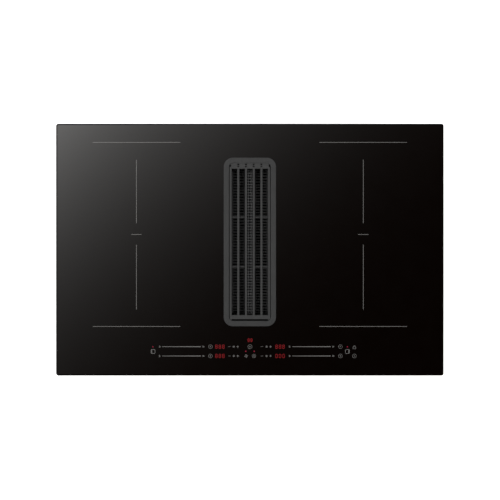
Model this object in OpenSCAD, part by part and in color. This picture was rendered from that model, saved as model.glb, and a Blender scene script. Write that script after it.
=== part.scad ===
// Built-in induction cooktop, 80 cm wide, with a downdraft extractor in the middle.
// Millimetres. +X is right, +Y is the back, +Z is up. The origin is the middle of the glass, on the worktop.

/* [Glass] */
// Width of the glass plate
glass_w = 800; // [780:1:900]
// Depth of the glass plate, front to back
glass_d = 520; // [510:1:560]
// Thickness of the glass plate
glass_t = 4; // [3:0.5:6]
// Corner radius of the glass plate
glass_corner_r = 5; // [4:0.5:20]
// Width of the ground bevel round the top edge
bevel_w = 2.5; // [1:0.5:3.5]
// Height of the ground bevel
bevel_h = 1.2; // [0.5:0.1:2]
// Thickness of the foam seal under the glass edge
seal_t = 1.5; // [1:0.5:3]
// Width of the foam seal
seal_w = 10; // [6:1:10]
// Glass edge to foam seal
seal_inset = 4; // [2:0.5:4]

/* [Case] */
// Glass overhang past the case, each side
overhang_x = 30; // [27:1:34]
// Glass overhang past the case, front and back
overhang_y = 20; // [16:1:20]
// Height of the case under the glass
case_h = 56; // [54:1:64]
// Thickness of the sheet steel
sheet_t = 1.2; // [0.8:0.1:1.6]
// Width of the folded lip that the glass is bonded to
lip_w = 12; // [8:1:12]

/* [Intake] */
// Width of the intake rim on the glass
rim_w = 108; // [106:1:112]
// Front edge of the glass to the rim
rim_front = 102; // [100:1:104]
// Back edge of the glass to the rim
rim_back = 70; // [66:1:74]
// Thickness of the rim above the glass
rim_t = 2; // [1.5:0.25:3]
// Width of the rim's land along its sides
rim_land_x = 11; // [10:0.5:11.5]
// Width of the rim's land at its ends
rim_land_y = 11; // [10.5:0.5:13]
// Corner radius of the rim
rim_r = 19; // [17:0.5:21]
// Depth of the grille below the top of the rim
grille_drop = 0.5; // [0:0.25:1]
// Thickness of the grille
grille_t = 6; // [5:0.5:8]
// Groove along both sides of the grille
groove = 1.3; // [1:0.1:2.5]
// Number of slots in the grille
slot_count = 5; // [3:2:5]
// Slot to slot
slot_pitch = 15.9; // [15.5:0.1:16]
// Width of a bar between two slots
bar_w = 4.2; // [4:0.2:5.6]
// End of the rim to the ends of the slots
slot_end = 22.8; // [22.6:0.1:29]
// Depth of the finger notch at the front of the grille
finger_notch = 3.2; // [1:0.1:4]

/* [Filter] */
// Height of the filter cassette under its flange
filter_h = 41; // [36:1:44]
// Sheet thickness of the filter
filter_sheet = 1; // [0.8:0.1:1.5]
// Half width of the raised middle of the filter
ridge_half = 8.4; // [8:0.2:9]
// Hole to hole across the filter
hole_pitch_x = 5.1; // [4.5:0.1:5.4]
// Hole to hole along the filter
hole_pitch_y = 5.8; // [5.2:0.1:7]
// Size of a hole
hole_size = 2.6; // [2:0.1:3]
// Depth of the outer edge of the filter's slopes below the flange
slope_drop = 5; // [3:1:8]

/* [Tray and sump] */
// Height of the grease tray
tray_h = 24; // [18:1:30]
// Wall of the grease tray
tray_wall = 1.5; // [1:0.1:2]
// Wall of the plastic ducts
duct_wall = 2.5; // [2:0.1:3]
// Height of the sump floor above the underside
cup_room = 26; // [25:1:30]
// Radius of the overflow cup
cup_r = 34; // [30:1:38]
// Height of the overflow cup
cup_h = 22; // [18:1:22]
// Front of the sump to the middle of the drain and the overflow cup
cup_front = 79.6; // [78:0.2:110]
// Radius of the drain's bore
drain_r = 10; // [8:0.5:11]

/* [Blower] */
// Height of the blower unit under the case
blower_h = 126; // [124:1:140]
// Height of the air chamber above the blower
chamber_h = 34; // [30:1:36]
// Radius of the impeller
impeller_r = 85; // [80:1:88]
// Height of the impeller's blades
blade_h = 62; // [50:1:64]
// Number of blades
blade_count = 32; // [24:1:40]
// Thickness of a blade
blade_t = 1.4; // [1:0.1:2]
// Radius of the scroll where it starts
scroll_r = 106; // [104:1:110]
// Growth of the scroll's radius each quarter turn
scroll_step = 14; // [10:1:15]
// Width of the scroll's mouth
mouth_w = 95; // [85:1:105]
// Outer width of the duct spigot
spigot_w = 222; // [218:1:226]
// Outer height of the duct spigot
spigot_h = 89; // [86:1:89]
// Wall of the duct spigot
spigot_wall = 2; // [1.5:0.1:2.5]
// Free length of the duct spigot
spigot_len = 96; // [90:1:97]

/* [Induction] */
// Side edge of the glass to the middle of a zone
zone_in = 166; // [164:1:170]
// Front edge of the glass to a coil plate
zone_front = 99; // [99:1:106]
// Back edge of the glass to a coil plate
zone_back = 35; // [35:1:42]
// Gap between the two coils of a zone
coil_gap = 6; // [4:1:12]
// Width of a coil
coil_w = 178; // [170:1:180]
// Corner radius of a coil
coil_r = 62; // [50:1:70]
// Thickness of the winding
coil_t = 5; // [4:0.5:6]
// Thickness of the insulation on the coils
blanket_t = 2.5; // [2:0.5:3]
// Edge of a coil to the ends of its ferrite bars
ferrite_in = 10; // [8:1:20]

/* [Electronics] */
// Side of a cooling fan
fan_side = 80; // [76:1:80]
// Height of a cooling fan
fan_h = 25; // [20:1:28]
// Front edge to the middle of the two rows of keys
keys_in = 50.5; // [49:0.5:52]
// Distance between the two rows of keys
row_pitch = 19.2; // [17:0.2:20]
// Length of the control tray
control_w = 448; // [430:1:460]

/* [Fixings] */
// Distance between the two clamps on a side
clamp_pitch = 280; // [240:1:300]
// Clamp screw beyond the case
clamp_out = 18; // [16:1:19]
// Radius of the clamp screw's thread
clamp_r = 2.5; // [2:0.25:3]
// Length of the clamp screw
clamp_len = 50; // [45:1:60]
// Worktop underside to the seat, where the clamps press
worktop_t = 35; // [34:1:40]

/* [Hidden] */
$fn = 64;
eps = 0.01;
slip = 0.3;

// Heights, from the worktop surface at 0
glass_z = seal_t;
glass_top_z = glass_z + glass_t;
rim_z = glass_top_z + rim_t;
case_z = glass_z - case_h;
floor_z = case_z + sheet_t;
base_z = case_z - blower_h;

// Case and cut-out
case_w = glass_w - 2 * overhang_x;
case_d = glass_d - 2 * overhang_y;
case_r = 4;

// Intake, placed from the edges of the glass
rim_d = glass_d - rim_front - rim_back;
intake_y = (rim_front - rim_back) / 2;
slot_len = rim_d - 2 * slot_end;

// Intake: the rim's opening, the ledge for the grille and the ledge for the filter
opening_w = rim_w - 2 * rim_land_x;
opening_d = rim_d - 2 * rim_land_y;
opening_r = rim_r - rim_land_x;
pad_t = 0.8;
pad_r = 2.4;
grille_top = rim_z - grille_drop;
grille_z = grille_top - grille_t;
ledge_z = grille_z - pad_t;
throat_w = opening_w - 6;
throat_d = slot_len + 4.8;
throat_r = 4;
filter_throat_r = 1.5;
filter_r = 1.2;
filter_seat_z = ledge_z - 4.2;
filter_throat_w = throat_w - 4;
filter_throat_d = throat_d - 4;
collar_wall = 2;
collar_end = 1;
collar_w = opening_w + 2 * collar_wall;
collar_d = opening_d + 2 * collar_end;
collar_r = opening_r + collar_wall;
collar_z = filter_seat_z - 8;
cutout_gap = 1;
screw_r = 1.75;
screw_bite = 5;
screw_head_r = 3.5;
screw_head_t = 2.2;
shank_r = 1.4;
floor_hole_r = 1.8;
ear_hole_r = 2.2;

// Grille
grille_w = opening_w - 2 * groove;
front_gap = 0.6;
rear_gap = 0.3;
grille_front = intake_y - opening_d / 2 + front_gap;
grille_back = intake_y + opening_d / 2 - rear_gap;
grille_d = grille_back - grille_front;
grille_mid = (grille_front + grille_back) / 2;
grille_r = opening_r - 1.5;
slot_w = slot_pitch - bar_w;
notch_w = slot_pitch * (slot_count - 1) + slot_w;
cross_w = 2;
cross_y = slot_len * 0.17;
cross_t = 3;
vent_w = 3.6;
vent_d = 2.3;
rear_vent_d = 2.9;
vent_pitch = 4.2;
corner_cut_r = 2.5;
corner_cut = [-0.8, -5.6];
vent_y = intake_y + slot_len / 2 + 4.5;

// Filter cassette
flange_t = 1.2;
filter_w = filter_throat_w - 0.8;
filter_d = filter_throat_d - 0.8;
filter_bottom = filter_seat_z - filter_h;
filter_in_w = filter_w - 2 * filter_sheet;
filter_in_d = filter_d - 2 * filter_sheet;
panel_gap = 0.2;
ridge_top = filter_seat_z + flange_t - 0.7;
mesh_t = 4;
mesh_pitch_x = 13;
mesh_pitch_y = 16;
mesh_wire = 3;
mesh_z = filter_bottom + filter_sheet;
valley_z = mesh_z + mesh_t + 0.3;
slope_top_x = filter_in_w / 2 - panel_gap;
slope_top_z = filter_seat_z - slope_drop;
slope_low_x = ridge_half + filter_sheet + 0.4;
slope_dx = slope_top_x - slope_low_x;
slope_dz = slope_top_z - valley_z - filter_sheet;
slope_len = sqrt(slope_dx * slope_dx + slope_dz * slope_dz);
slope_angle = atan2(slope_dz, slope_dx);
rows = floor((filter_in_d - 6) / hole_pitch_y);

// Shaft and sump
shaft_in_w = collar_w + 2 * slip;
shaft_in_d = collar_d + 2 * slip;
shaft_w = shaft_in_w + 2 * duct_wall;
shaft_d = shaft_in_d + 2 * duct_wall;
shaft_r = collar_r + slip + duct_wall;
shaft_flange = 8;
gasket_t = 1;
shaft_top = glass_z - gasket_t;
shaft_plug = 8;
sump_in_w = shaft_w + 2 * slip;
sump_in_d = shaft_d + 2 * slip;
sump_w = sump_in_w + 2 * duct_wall;
sump_d = sump_in_d + 2 * duct_wall;
sump_r = shaft_r + slip + duct_wall;
sump_floor = base_z + cup_room + duct_wall;
tray_rib = 2;
tray_z = sump_floor + tray_rib;
tray_w = filter_throat_w - 2;
tray_d = filter_throat_d - 2;
tray_r = 10;
cup_back = sump_d / 2 - cup_front;
drain_y = intake_y - cup_back;
drain_wall = 4;
spout_len = 8;
cup_seal_t = 2;
cup_top = sump_floor - duct_wall - cup_seal_t - slip;
cup_z = cup_top - cup_h;
cup_wall = 2;
grip = 1.5;

// Blower: the scroll is drawn with arcs about the corners of a small square
impeller_x = sump_w / 2 + duct_wall + scroll_r + 2.5 * scroll_step;
impeller_y = 0;
deck_t = 2.5;
chamber_floor = case_z - chamber_h;
tub_top = chamber_floor - deck_t;
tub_floor = base_z + duct_wall;
arc = scroll_step / 2;
scroll_left = impeller_x - arc - (scroll_r + 2 * scroll_step);
scroll_right = impeller_x + arc + scroll_r;
scroll_front = impeller_y - arc - (scroll_r + scroll_step);
scroll_back = impeller_y - arc + scroll_r;
outlet_in_w = spigot_w - 2 * spigot_wall;
outlet_y0 = scroll_back + 6;
outlet_y1 = case_d / 2 + 16 - spigot_len;
outlet_x = scroll_left + outlet_in_w / 2;
inlet_r = 60;
inlet_lip = 7;
ear_y = sump_d / 2 - 50;

// Window between the sump and the air chamber
window_y0 = scroll_front + 8;
window_y1 = scroll_back - 8;
window_z0 = chamber_floor + 3;
window_z1 = case_z - shaft_plug - 3;

// Impeller and motor
blade_z = tub_floor + 10.5;
hub_r = 46;
hub_wall = 2;
hub_top = blade_z + 24;
ring_h = 4;
eye_r = inlet_r + 5;
can_wall = 2;
can_r = hub_r - hub_wall;
motor_dish = 5;
dish_r = 58;
stator_r = can_r - can_wall - 1;
motor_base_z = tub_floor + motor_dish;
shaft_axle_r = 4;
bearing_r = 11;
bearing_h = 7;
bearing_tube_top = hub_top - 2 * hub_wall - 3;
axle_fit = 0.02;

// Outlet spigot and its flap
spigot_z = tub_floor + (tub_top - tub_floor) / 2;
plug_len = 12;
flap_t = 1.6;
flap_pin_r = 2;
flap_y = outlet_y1 + 8;
flap_z = spigot_z + spigot_h / 2 - spigot_wall - 5;
flap_h = flap_z - (spigot_z - spigot_h / 2 + spigot_wall) - 1;
flap_w = outlet_in_w - 2;
flap_stop = 4;

// Induction layers, from the glass down
coil_z = glass_z - blanket_t - coil_t;
former_t = 2;
former_z = coil_z - former_t;
ferrite_t = 5;
ferrite_w = 15;
ferrite_z = former_z - ferrite_t;
plate_t = 1.5;
plate_z = ferrite_z - plate_t;
plate_w = coil_w + 24;
plate_d = glass_d - zone_front - zone_back;
zone_x = glass_w / 2 - zone_in;
zone_y = (zone_front - zone_back) / 2;
coil_d = (plate_d - 12 - coil_gap) / 2;
coil_pitch = coil_d + coil_gap;
coil_hole_r = 21;
ferrite_l = coil_d / 2 - coil_hole_r - 5 - ferrite_in;
turns = 6;
turn_gap = 0.8;
turn_w = (coil_w / 2 - coil_hole_r - 6) / turns - turn_gap;
sensor_r = 5;
post_r = 7;
post_top = plate_z - 15;
post_x = plate_w / 2 - 10;
post_y = plate_d / 2 - 20;

// Plate springs
spring_r = 5;
spring_wire = 1;
spring_turns = 4;
spring_steps = 8;
wire_sides = 5;
spring_z0 = post_top + spring_wire;
spring_z1 = plate_z - spring_wire;
spring_count = spring_turns * spring_steps;

// Boards
carrier_t = 2;
standoff = 2;
board_t = 1.6;
board_z = floor_z + carrier_t + standoff;
board_top = board_z + board_t;
board_w = coil_w - 2;
board_in = 136;
board_shift = 12;
board_d = plate_d - board_in;
board_y = zone_y + board_shift;
sink_w = 56;
sink_in = 100;
sink_d = board_d - sink_in;
sink_shift = 30;
sink_h = 24;
sink_base = 4;
fin_t = 1.6;
sink_x = 55;
cap_r = 12;
cap_h = 24;
choke_w = 26;
choke_d = 30;
choke_h = 18;
relay_w = 12;
relay_d = 24;
relay_pitch = 16;
socket_w = 44;
socket_d = 12;
socket_h = 10;
mains_relay_h = 16;
fan_x = case_w / 2 - sheet_t - fan_side / 2 - 6;
fan_y = -(case_d / 2 - sheet_t - fan_side / 2 - 2);
fan_bore = fan_side / 2 - 2;
rotor_r = fan_bore - 1.2;
rotor_hub = 15;
mains_side = 26;
mains_w = 2 * (zone_x - post_x - post_r - mains_side);
mains_d = 36;
mains_part_x = (mains_w - 20) / 10;
mains_relay_w = mains_part_x;
mains_y = case_d / 2 - sheet_t - mains_d / 2 - 4;
keys_y = -(glass_d / 2 - keys_in);
control_d = 50;
control_wall = 2;
control_front = -(case_d / 2 - sheet_t / 2 - lip_w - 2 * slip);
control_y = control_front + control_d / 2;
control_z = -18;
touch_z = -7;
touch_top = touch_z + board_t;
digit_x = 62;
slider_x0 = [-181, 87];
slider_len = 80;
pads_per_slider = 8;

// Terminal box
term_in = 135;
term_x = -(case_w / 2 - term_in);
term_y = case_d / 2 - 62;
term_w = 110;
term_d = 70;
term_h = 28;
term_wall = 2.5;
term_lid_t = 2.5;
hinge_r = 3;
hinge_y = -term_d / 2 - hinge_r - 0.4;
block_size = [66, 24, 16];
block_back = 10;
tab_window = [52, 12];
gland_x = 24;
gland_bore = 6;
gland_r = 10;
gland_neck = gland_r - 3;

// Clamps
bracket_t = 3;
bracket_w = 22;
bracket_in = clamp_out + 38;
bracket_out = 4;
bracket_screw = clamp_out + 20;
clamp_x = case_w / 2 + clamp_out;
clamp_tip = -worktop_t;
clamp_pad = 6;
clamp_pad_t = 2.5;

sides = [-1, 1];

// Flat outline with round corners
module rrect(w, d, r) {
    square([w - 2 * r, d], center = true);
    square([w, d - 2 * r], center = true);
    for (x = sides, y = sides) translate([x * (w / 2 - r), y * (d / 2 - r)]) circle(r);
}

// Block with round upright edges, from z0 to z1
module block(w, d, r, z0, z1) {
    translate([0, 0, z0]) linear_extrude(z1 - z0) rrect(w, d, r);
}

// Straight-walled frame, open at top and bottom
module frame(w, d, r, wall, z0, z1) {
    translate([0, 0, z0]) linear_extrude(z1 - z0) difference() {
        rrect(w, d, r);
        rrect(w - 2 * wall, d - 2 * wall, max(r - wall, 0.5));
    }
}

module rod(r, z0, z1) {
    translate([0, 0, z0]) cylinder(r = r, h = z1 - z0);
}

module tube(r_out, r_in, z0, z1) {
    translate([0, 0, z0]) linear_extrude(z1 - z0) difference() {
        circle(r_out);
        circle(r_in);
    }
}

module at_intake() translate([0, intake_y, 0]) children();

// A sheet with a grid of square holes, drawn as one outline with many loops
function hole_loop(x, y, w, d) = [
    [x - w / 2, y - d / 2], [x + w / 2, y - d / 2], [x + w / 2, y + d / 2], [x - w / 2, y + d / 2]
];
module holed_sheet(w, d, cols, col_pitch, lines, line_pitch, hole_w, hole_d, t) {
    cells = [
        for (i = [0:lines - 1], j = [0:cols - 1])
            [(j - (cols - 1) / 2) * col_pitch, (i - (lines - 1) / 2) * line_pitch]
    ];
    points = concat(hole_loop(0, 0, w, d), [for (c = cells) each hole_loop(c[0], c[1], hole_w, hole_d)]);
    loops = [for (k = [0:len(cells)]) [for (m = [0:3]) 4 * k + m]];
    linear_extrude(t) polygon(points, loops);
}

// Glass plate with a ground bevel, a rounded cut-out for the intake and square outer edges below the bevel
module glass_top() color("#111113") difference() {
    hull() {
        translate([0, 0, glass_z]) linear_extrude(glass_t - bevel_h)
            rrect(glass_w, glass_d, glass_corner_r, $fn = 32);
        translate([0, 0, glass_z]) linear_extrude(glass_t)
            rrect(glass_w - 2 * bevel_w, glass_d - 2 * bevel_w, max(glass_corner_r - bevel_w, 1), $fn = 32);
    }
    at_intake() block(collar_w + 2 * cutout_gap, collar_d + 2 * cutout_gap, collar_r + cutout_gap,
        glass_z - 1, glass_top_z + 1);
}

// Foam tape that the glass rests on
module worktop_seal() color("#2b2b2b")
    frame(glass_w - 2 * seal_inset, glass_d - 2 * seal_inset, 6, seal_w, 0, seal_t);

// Rim on the glass, with a collar that carries the grille and, lower down, the filter
module intake_rim() color("#45484a") at_intake() difference() {
    union() {
        block(rim_w, rim_d, rim_r, glass_top_z, rim_z);
        block(collar_w, collar_d, collar_r, collar_z, glass_top_z + eps);
    }
    block(opening_w, opening_d, opening_r, ledge_z, rim_z + 1);
    block(throat_w, throat_d, throat_r, filter_seat_z, ledge_z + 1);
    block(filter_throat_w, filter_throat_d, filter_throat_r, collar_z - 1, filter_seat_z + 1);
    rim_screws() rod(screw_r, -screw_bite, 1);
}

// Screws through the shaft's long sides into the collar
module rim_screws() for (s = sides, y = [-1:1])
    translate([s * collar_w / 2, y * (rim_d / 2 - 70), (filter_seat_z + collar_z) / 2])
        rotate([0, s * 90, 0]) children();

module grille_outline() difference() {
    translate([0, grille_mid - intake_y]) rrect(grille_w, grille_d, grille_r);
    translate([0, grille_front - intake_y]) square([notch_w, 2 * finger_notch], center = true);
    for (s = sides) translate([s * (grille_w / 2 + corner_cut[0]), grille_back - intake_y + corner_cut[1]])
        circle(corner_cut_r);
    for (j = [1:slot_count - 1]) translate([(j - slot_count / 2) * slot_pitch, vent_y - intake_y]) {
        square([vent_w, vent_d], center = true);
        translate([0, vent_pitch]) square([vent_w, rear_vent_d], center = true);
    }
    for (j = [0:slot_count - 1]) translate([(j - (slot_count - 1) / 2) * slot_pitch, 0])
        square([slot_w, slot_len], center = true);
}

// Lift-out grille: long bars, with two low cross bars that leave the middle slot clear
module intake_grille() color("#4a4d4f") at_intake() union() {
    translate([0, 0, grille_z]) linear_extrude(grille_t) grille_outline();
    for (s = [0, 1], y = sides) mirror([s, 0, 0])
        translate([slot_pitch / 2, y * cross_y - cross_w / 2, grille_z])
            cube([notch_w / 2 + 1 - slot_pitch / 2, cross_w, cross_t]);
}

module grille_pads() color("#202020") at_intake() for (x = sides, y = sides)
    translate([x * (opening_w / 2 - 12), y * (throat_d / 2 + pad_r + 0.2), 0]) rod(pad_r, ledge_z, grille_z);

// Filter cassette: flange, box walls and a bottom lip
module filter_frame() color("#8d9092") at_intake() {
    difference() {
        union() {
            block(throat_w - 0.8, throat_d - 0.8, throat_r, filter_seat_z, filter_seat_z + flange_t);
            block(filter_w, filter_d, filter_r, filter_bottom, filter_seat_z + eps);
        }
        block(filter_in_w, filter_in_d, 0.4, mesh_z, filter_seat_z + flange_t + 1);
        block(filter_in_w - 8, filter_in_d - 8, 1, filter_bottom - 1, mesh_z + 1);
    }
}

// Raised middle of the filter, a channel turned upside down with three rows of holes
module filter_ridge() color("#5c5f61") at_intake() union() {
    translate([0, 0, ridge_top - filter_sheet])
        holed_sheet(2 * ridge_half, filter_in_d - 0.4, 3, hole_pitch_x, rows, hole_pitch_y,
            hole_size, hole_size, filter_sheet);
    for (s = sides) translate([s * (ridge_half - filter_sheet / 2), 0, (ridge_top + mesh_z + mesh_t) / 2])
        cube([filter_sheet, filter_in_d - 0.4, ridge_top - mesh_z - mesh_t], center = true);
}

// Sloping sheets on both sides of the ridge, high at the outside, with one slot for each row of holes
module filter_panels() color("#4a4c4e") at_intake() for (s = [0, 1]) mirror([s, 0, 0])
    translate([slope_low_x, 0, valley_z + filter_sheet / 2]) rotate([0, -slope_angle, 0])
        translate([slope_len / 2, 0, 0])
            holed_sheet(slope_len, filter_in_d - 0.4, 1, 1, rows, hole_pitch_y,
                slope_len - 6, hole_size, filter_sheet / 2);

// Flat pad of expanded metal in the bottom of the cassette
module filter_mesh() color("#a5a8aa") at_intake() translate([0, 0, mesh_z])
    holed_sheet(filter_in_w - 0.6, filter_in_d - 0.6, floor((filter_in_w - 8) / mesh_pitch_x), mesh_pitch_x,
        floor((filter_in_d - 12) / mesh_pitch_y), mesh_pitch_y,
        mesh_pitch_x - mesh_wire, mesh_pitch_y - mesh_wire, mesh_t);

// Grease tray with an overflow pipe and a finger tab at each end
module grease_tray() color("#9a9da0") at_intake() {
    difference() {
        union() {
            difference() {
                block(tray_w, tray_d, tray_r, tray_z, tray_z + tray_h);
                block(tray_w - 2 * tray_wall, tray_d - 2 * tray_wall, tray_r - tray_wall,
                    tray_z + tray_wall, tray_z + tray_h + 1);
            }
            translate([0, -cup_back, 0]) rod(7, tray_z, tray_z + tray_h - 9);
            for (y = sides) translate([0, y * (tray_d / 2 - 6), tray_z + tray_h - tray_wall / 2])
                cube([40, 11, tray_wall], center = true);
        }
        translate([0, -cup_back, 0]) rod(5, tray_z - 1, tray_z + tray_h);
    }
}

// Duct from the rim down through the case
module air_shaft() color("#1d1e20") at_intake() difference() {
    union() {
        block(shaft_w, shaft_d, shaft_r, case_z - shaft_plug, shaft_top);
        block(shaft_w + 2 * shaft_flange, shaft_d + 2 * shaft_flange, shaft_r + shaft_flange,
            shaft_top - duct_wall, shaft_top);
    }
    block(shaft_in_w, shaft_in_d, shaft_r - duct_wall, case_z - shaft_plug - 1, shaft_top + 1);
    rim_screws() rod(screw_r, -1, duct_wall + 2);
}

module shaft_gasket() color("#303030") at_intake()
    frame(shaft_w + 2 * shaft_flange, shaft_d + 2 * shaft_flange, shaft_r + shaft_flange,
        duct_wall + shaft_flange - cutout_gap, shaft_top, glass_z);

// Sump under the shaft: window to the blower, tray ribs, drain and a skirt round the overflow cup
module sump_housing() color("#232426") at_intake() {
    difference() {
        union() {
            block(sump_w, sump_d, sump_r, base_z, case_z);
            sump_ears() {
                rod(6, case_z - bracket_t, case_z);
                translate([0, -6, case_z - bracket_t]) cube([9, 12, bracket_t]);
            }
        }
        block(sump_in_w, sump_in_d, sump_r - duct_wall, sump_floor, case_z + 1);
        block(sump_in_w, sump_in_d, sump_r - duct_wall, base_z - 1, sump_floor - duct_wall);
        translate([sump_w / 2, (window_y0 + window_y1) / 2 - intake_y, (window_z0 + window_z1) / 2])
            cube([4 * duct_wall, window_y1 - window_y0, window_z1 - window_z0], center = true);
        translate([0, -cup_back, 0]) rod(drain_r, base_z, case_z);
        sump_ears() rod(ear_hole_r, base_z, case_z + 1);
    }
    for (y = [-1:1]) translate([0, y * 120, sump_floor + tray_rib / 2 - eps / 2])
        cube([sump_in_w - 6, 4, tray_rib + eps], center = true);
    for (s = sides) translate([s * (tray_w / 2 + slip + 1), 0, sump_floor + 5 - eps / 2])
        cube([2, tray_d - 40, 10 + eps], center = true);
    for (y = sides) translate([0, y * (tray_d / 2 + slip + 1), sump_floor + 5 - eps / 2])
        cube([tray_w - 30, 2, 10 + eps], center = true);
    translate([0, -cup_back, 0]) tube(drain_r + drain_wall, drain_r,
        sump_floor - duct_wall - spout_len, sump_floor - duct_wall + eps);
}
module sump_ears() for (y = sides) translate([-(sump_w / 2 + 8), y * ear_y, 0]) children();

// Overflow cup, pushed up over the drain's spout from below
module oil_cup() color("#b7b9ba") translate([0, drain_y, 0]) {
    difference() {
        rod(cup_r, cup_z, cup_top);
        rod(cup_r - cup_wall, cup_z + cup_wall, cup_top - cup_wall);
        rod(drain_r + drain_wall + slip, cup_top - cup_wall - 1, cup_top + 1);
    }
    for (a = [0:45:315]) rotate(a) translate([cup_r - 0.5 + grip / 2, 0, cup_z + cup_h / 2])
        cube([grip + 1, 3, cup_h], center = true);
}

module cup_seal() color("#303030") translate([0, drain_y, 0])
    tube(cup_r - 6, drain_r + drain_wall + slip, cup_top, cup_top + cup_seal_t);

// Folded sheet tray with an inward lip, open for the shaft, the fans and the cables
module case() color("#a9acae") difference() {
    union() {
        difference() {
            block(case_w, case_d, case_r, case_z, glass_z);
            block(case_w - 2 * sheet_t, case_d - 2 * sheet_t, case_r - sheet_t, floor_z, glass_z + 1);
        }
        frame(case_w - sheet_t, case_d - sheet_t, case_r, lip_w, glass_z - sheet_t, glass_z);
    }
    at_intake() block(shaft_w + 2 * slip, shaft_d + 2 * slip, shaft_r + slip, case_z - 1, floor_z + 1);
    for (s = sides) translate([s * fan_x, fan_y, case_z - 1]) fan_grid();
    for (s = sides) translate([s * zone_x, 0, 0]) side_vents();
    translate([term_x, term_y - block_back, 0]) block(tab_window[0], tab_window[1], 2, case_z - 1, floor_z + 1);
    floor_screws() rod(floor_hole_r, case_z - 1, floor_z + 1);
    post_places() rod(floor_hole_r, case_z - 1, floor_z + 1);
}

// Every place where a screw comes up through an ear and the case floor
module floor_screws() {
    at_intake() sump_ears() children();
    chamber_ears() children();
    clamp_places() translate([-bracket_screw, 0, 0]) children();
}

// Round grid of short slots under each cooling fan
module fan_grid() for (i = [-4:4]) {
    half = sqrt(pow(fan_bore - 2, 2) - pow(i * 7.4, 2));
    for (s = sides) translate([s * (half / 2 + 1), i * 7.4, 2]) cube([half - 2, 4, 6], center = true);
}

// Rows of air slots through the front and back walls
module side_vents() for (y = sides, i = [-6:6])
    translate([i * 14, y * case_d / 2, case_z + 22]) cube([7, 6, 16], center = true);

// Places of the two zones, of the four coils and of the posts under the coil plates
module coil_places() for (s = sides, y = sides)
    translate([s * zone_x, zone_y + y * coil_pitch / 2, 0]) children();
module plate_corners() for (x = sides, y = sides) translate([x * post_x, y * post_y, 0]) children();
module post_places() for (s = sides) translate([s * zone_x, zone_y, 0]) plate_corners() children();

module coil_insulation() color("#e8e4d8") for (s = sides) translate([s * zone_x, zone_y, 0]) difference() {
    block(plate_w - 6, plate_d - 6, 20, glass_z - blanket_t, glass_z);
    for (y = sides) translate([0, y * coil_pitch / 2, 0])
        rod(sensor_r + 1, glass_z - blanket_t - 1, glass_z + 1);
}

// One winding: wound bands joined by the lead that crosses under them
module winding(s, y) color("#b8652a") translate([s * zone_x, zone_y + y * coil_pitch / 2, 0]) union() {
    for (k = [0:turns - 1]) {
        inset = k * (turn_w + turn_gap);
        frame(coil_w - 2 * inset, coil_d - 2 * inset, max(coil_r - inset, coil_hole_r),
            turn_w, coil_z, coil_z + coil_t);
    }
    translate([-s * (coil_w / 2 - turns * (turn_w + turn_gap) / 2), 0, coil_z + 1])
        cube([turns * (turn_w + turn_gap), 6, 2], center = true);
}

module coil_left_front() winding(-1, -1);
module coil_left_rear() winding(-1, 1);
module coil_right_front() winding(1, -1);
module coil_right_rear() winding(1, 1);

// Plastic former under each winding, with a hub that holds the zone sensor
module coil_formers() color("#d9d2bd") coil_places() difference() {
    union() {
        block(coil_w + 4, coil_d + 4, coil_r, former_z, coil_z);
        rod(coil_hole_r - 4, former_z, coil_z + coil_t);
    }
    rod(sensor_r + slip, former_z - 1, glass_z);
    for (a = [0:45:315]) rotate(a + 22.5) translate([coil_w / 3.4, 0, former_z])
        cube([coil_w / 6, 14, 3 * former_t], center = true);
}

module ferrites() color("#3a3a3c") coil_places() for (a = [0:45:315]) rotate(a)
    translate([coil_hole_r + 5 + ferrite_l / 2, 0, ferrite_z + ferrite_t / 2])
        cube([ferrite_l, ferrite_w, ferrite_t], center = true);

// Aluminium plate that carries the two coils of a zone
module coil_plate(s) color("#c6c8ca") translate([s * zone_x, zone_y, 0]) difference() {
    block(plate_w, plate_d, 8, plate_z, plate_z + plate_t);
    for (y = sides) translate([0, y * coil_pitch / 2, 0]) rod(10, plate_z - 1, plate_z + plate_t + 1);
    translate([s * 40, 0, plate_z]) cube([60, 14, 6], center = true);
}
module coil_plate_left() coil_plate(-1);
module coil_plate_right() coil_plate(1);

module plate_posts() color("#e3e0d6") post_places() difference() {
    union() {
        rod(post_r, floor_z, post_top);
        rod(3, floor_z, post_top + 6);
    }
    rod(1.5, floor_z - 1, post_top - 4);
}

// Compression springs that press the coil plates up to the glass, each one wire swept along a helix
function spring_point(i) =
    let (a = 360 * i / spring_steps) [spring_r * cos(a), spring_r * sin(a),
        spring_z0 + (spring_z1 - spring_z0) * i / spring_count];
function wire_ring(i) =
    let (a = 360 * i / spring_steps, c = spring_point(i))
    [for (k = [0:wire_sides - 1]) let (b = 360 * k / wire_sides)
        c + spring_wire * [cos(b) * cos(a), cos(b) * sin(a), sin(b)]];
module plate_springs() {
    points = [for (i = [0:spring_count]) each wire_ring(i)];
    n = wire_sides;
    faces = concat(
        [[for (k = [0:n - 1]) k]],
        [for (i = [0:spring_count - 1], k = [0:n - 1]) each [
            [i * n + k, (i + 1) * n + k, (i + 1) * n + (k + 1) % n],
            [i * n + k, (i + 1) * n + (k + 1) % n, i * n + (k + 1) % n]
        ]],
        [[for (k = [n - 1:-1:0]) spring_count * n + k]]
    );
    color("#b0b2b4") post_places() polyhedron(points, faces);
}

module zone_sensors() color("#f0efe9") coil_places() {
    rod(sensor_r, former_z - 1, glass_z - 0.3);
}

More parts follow.
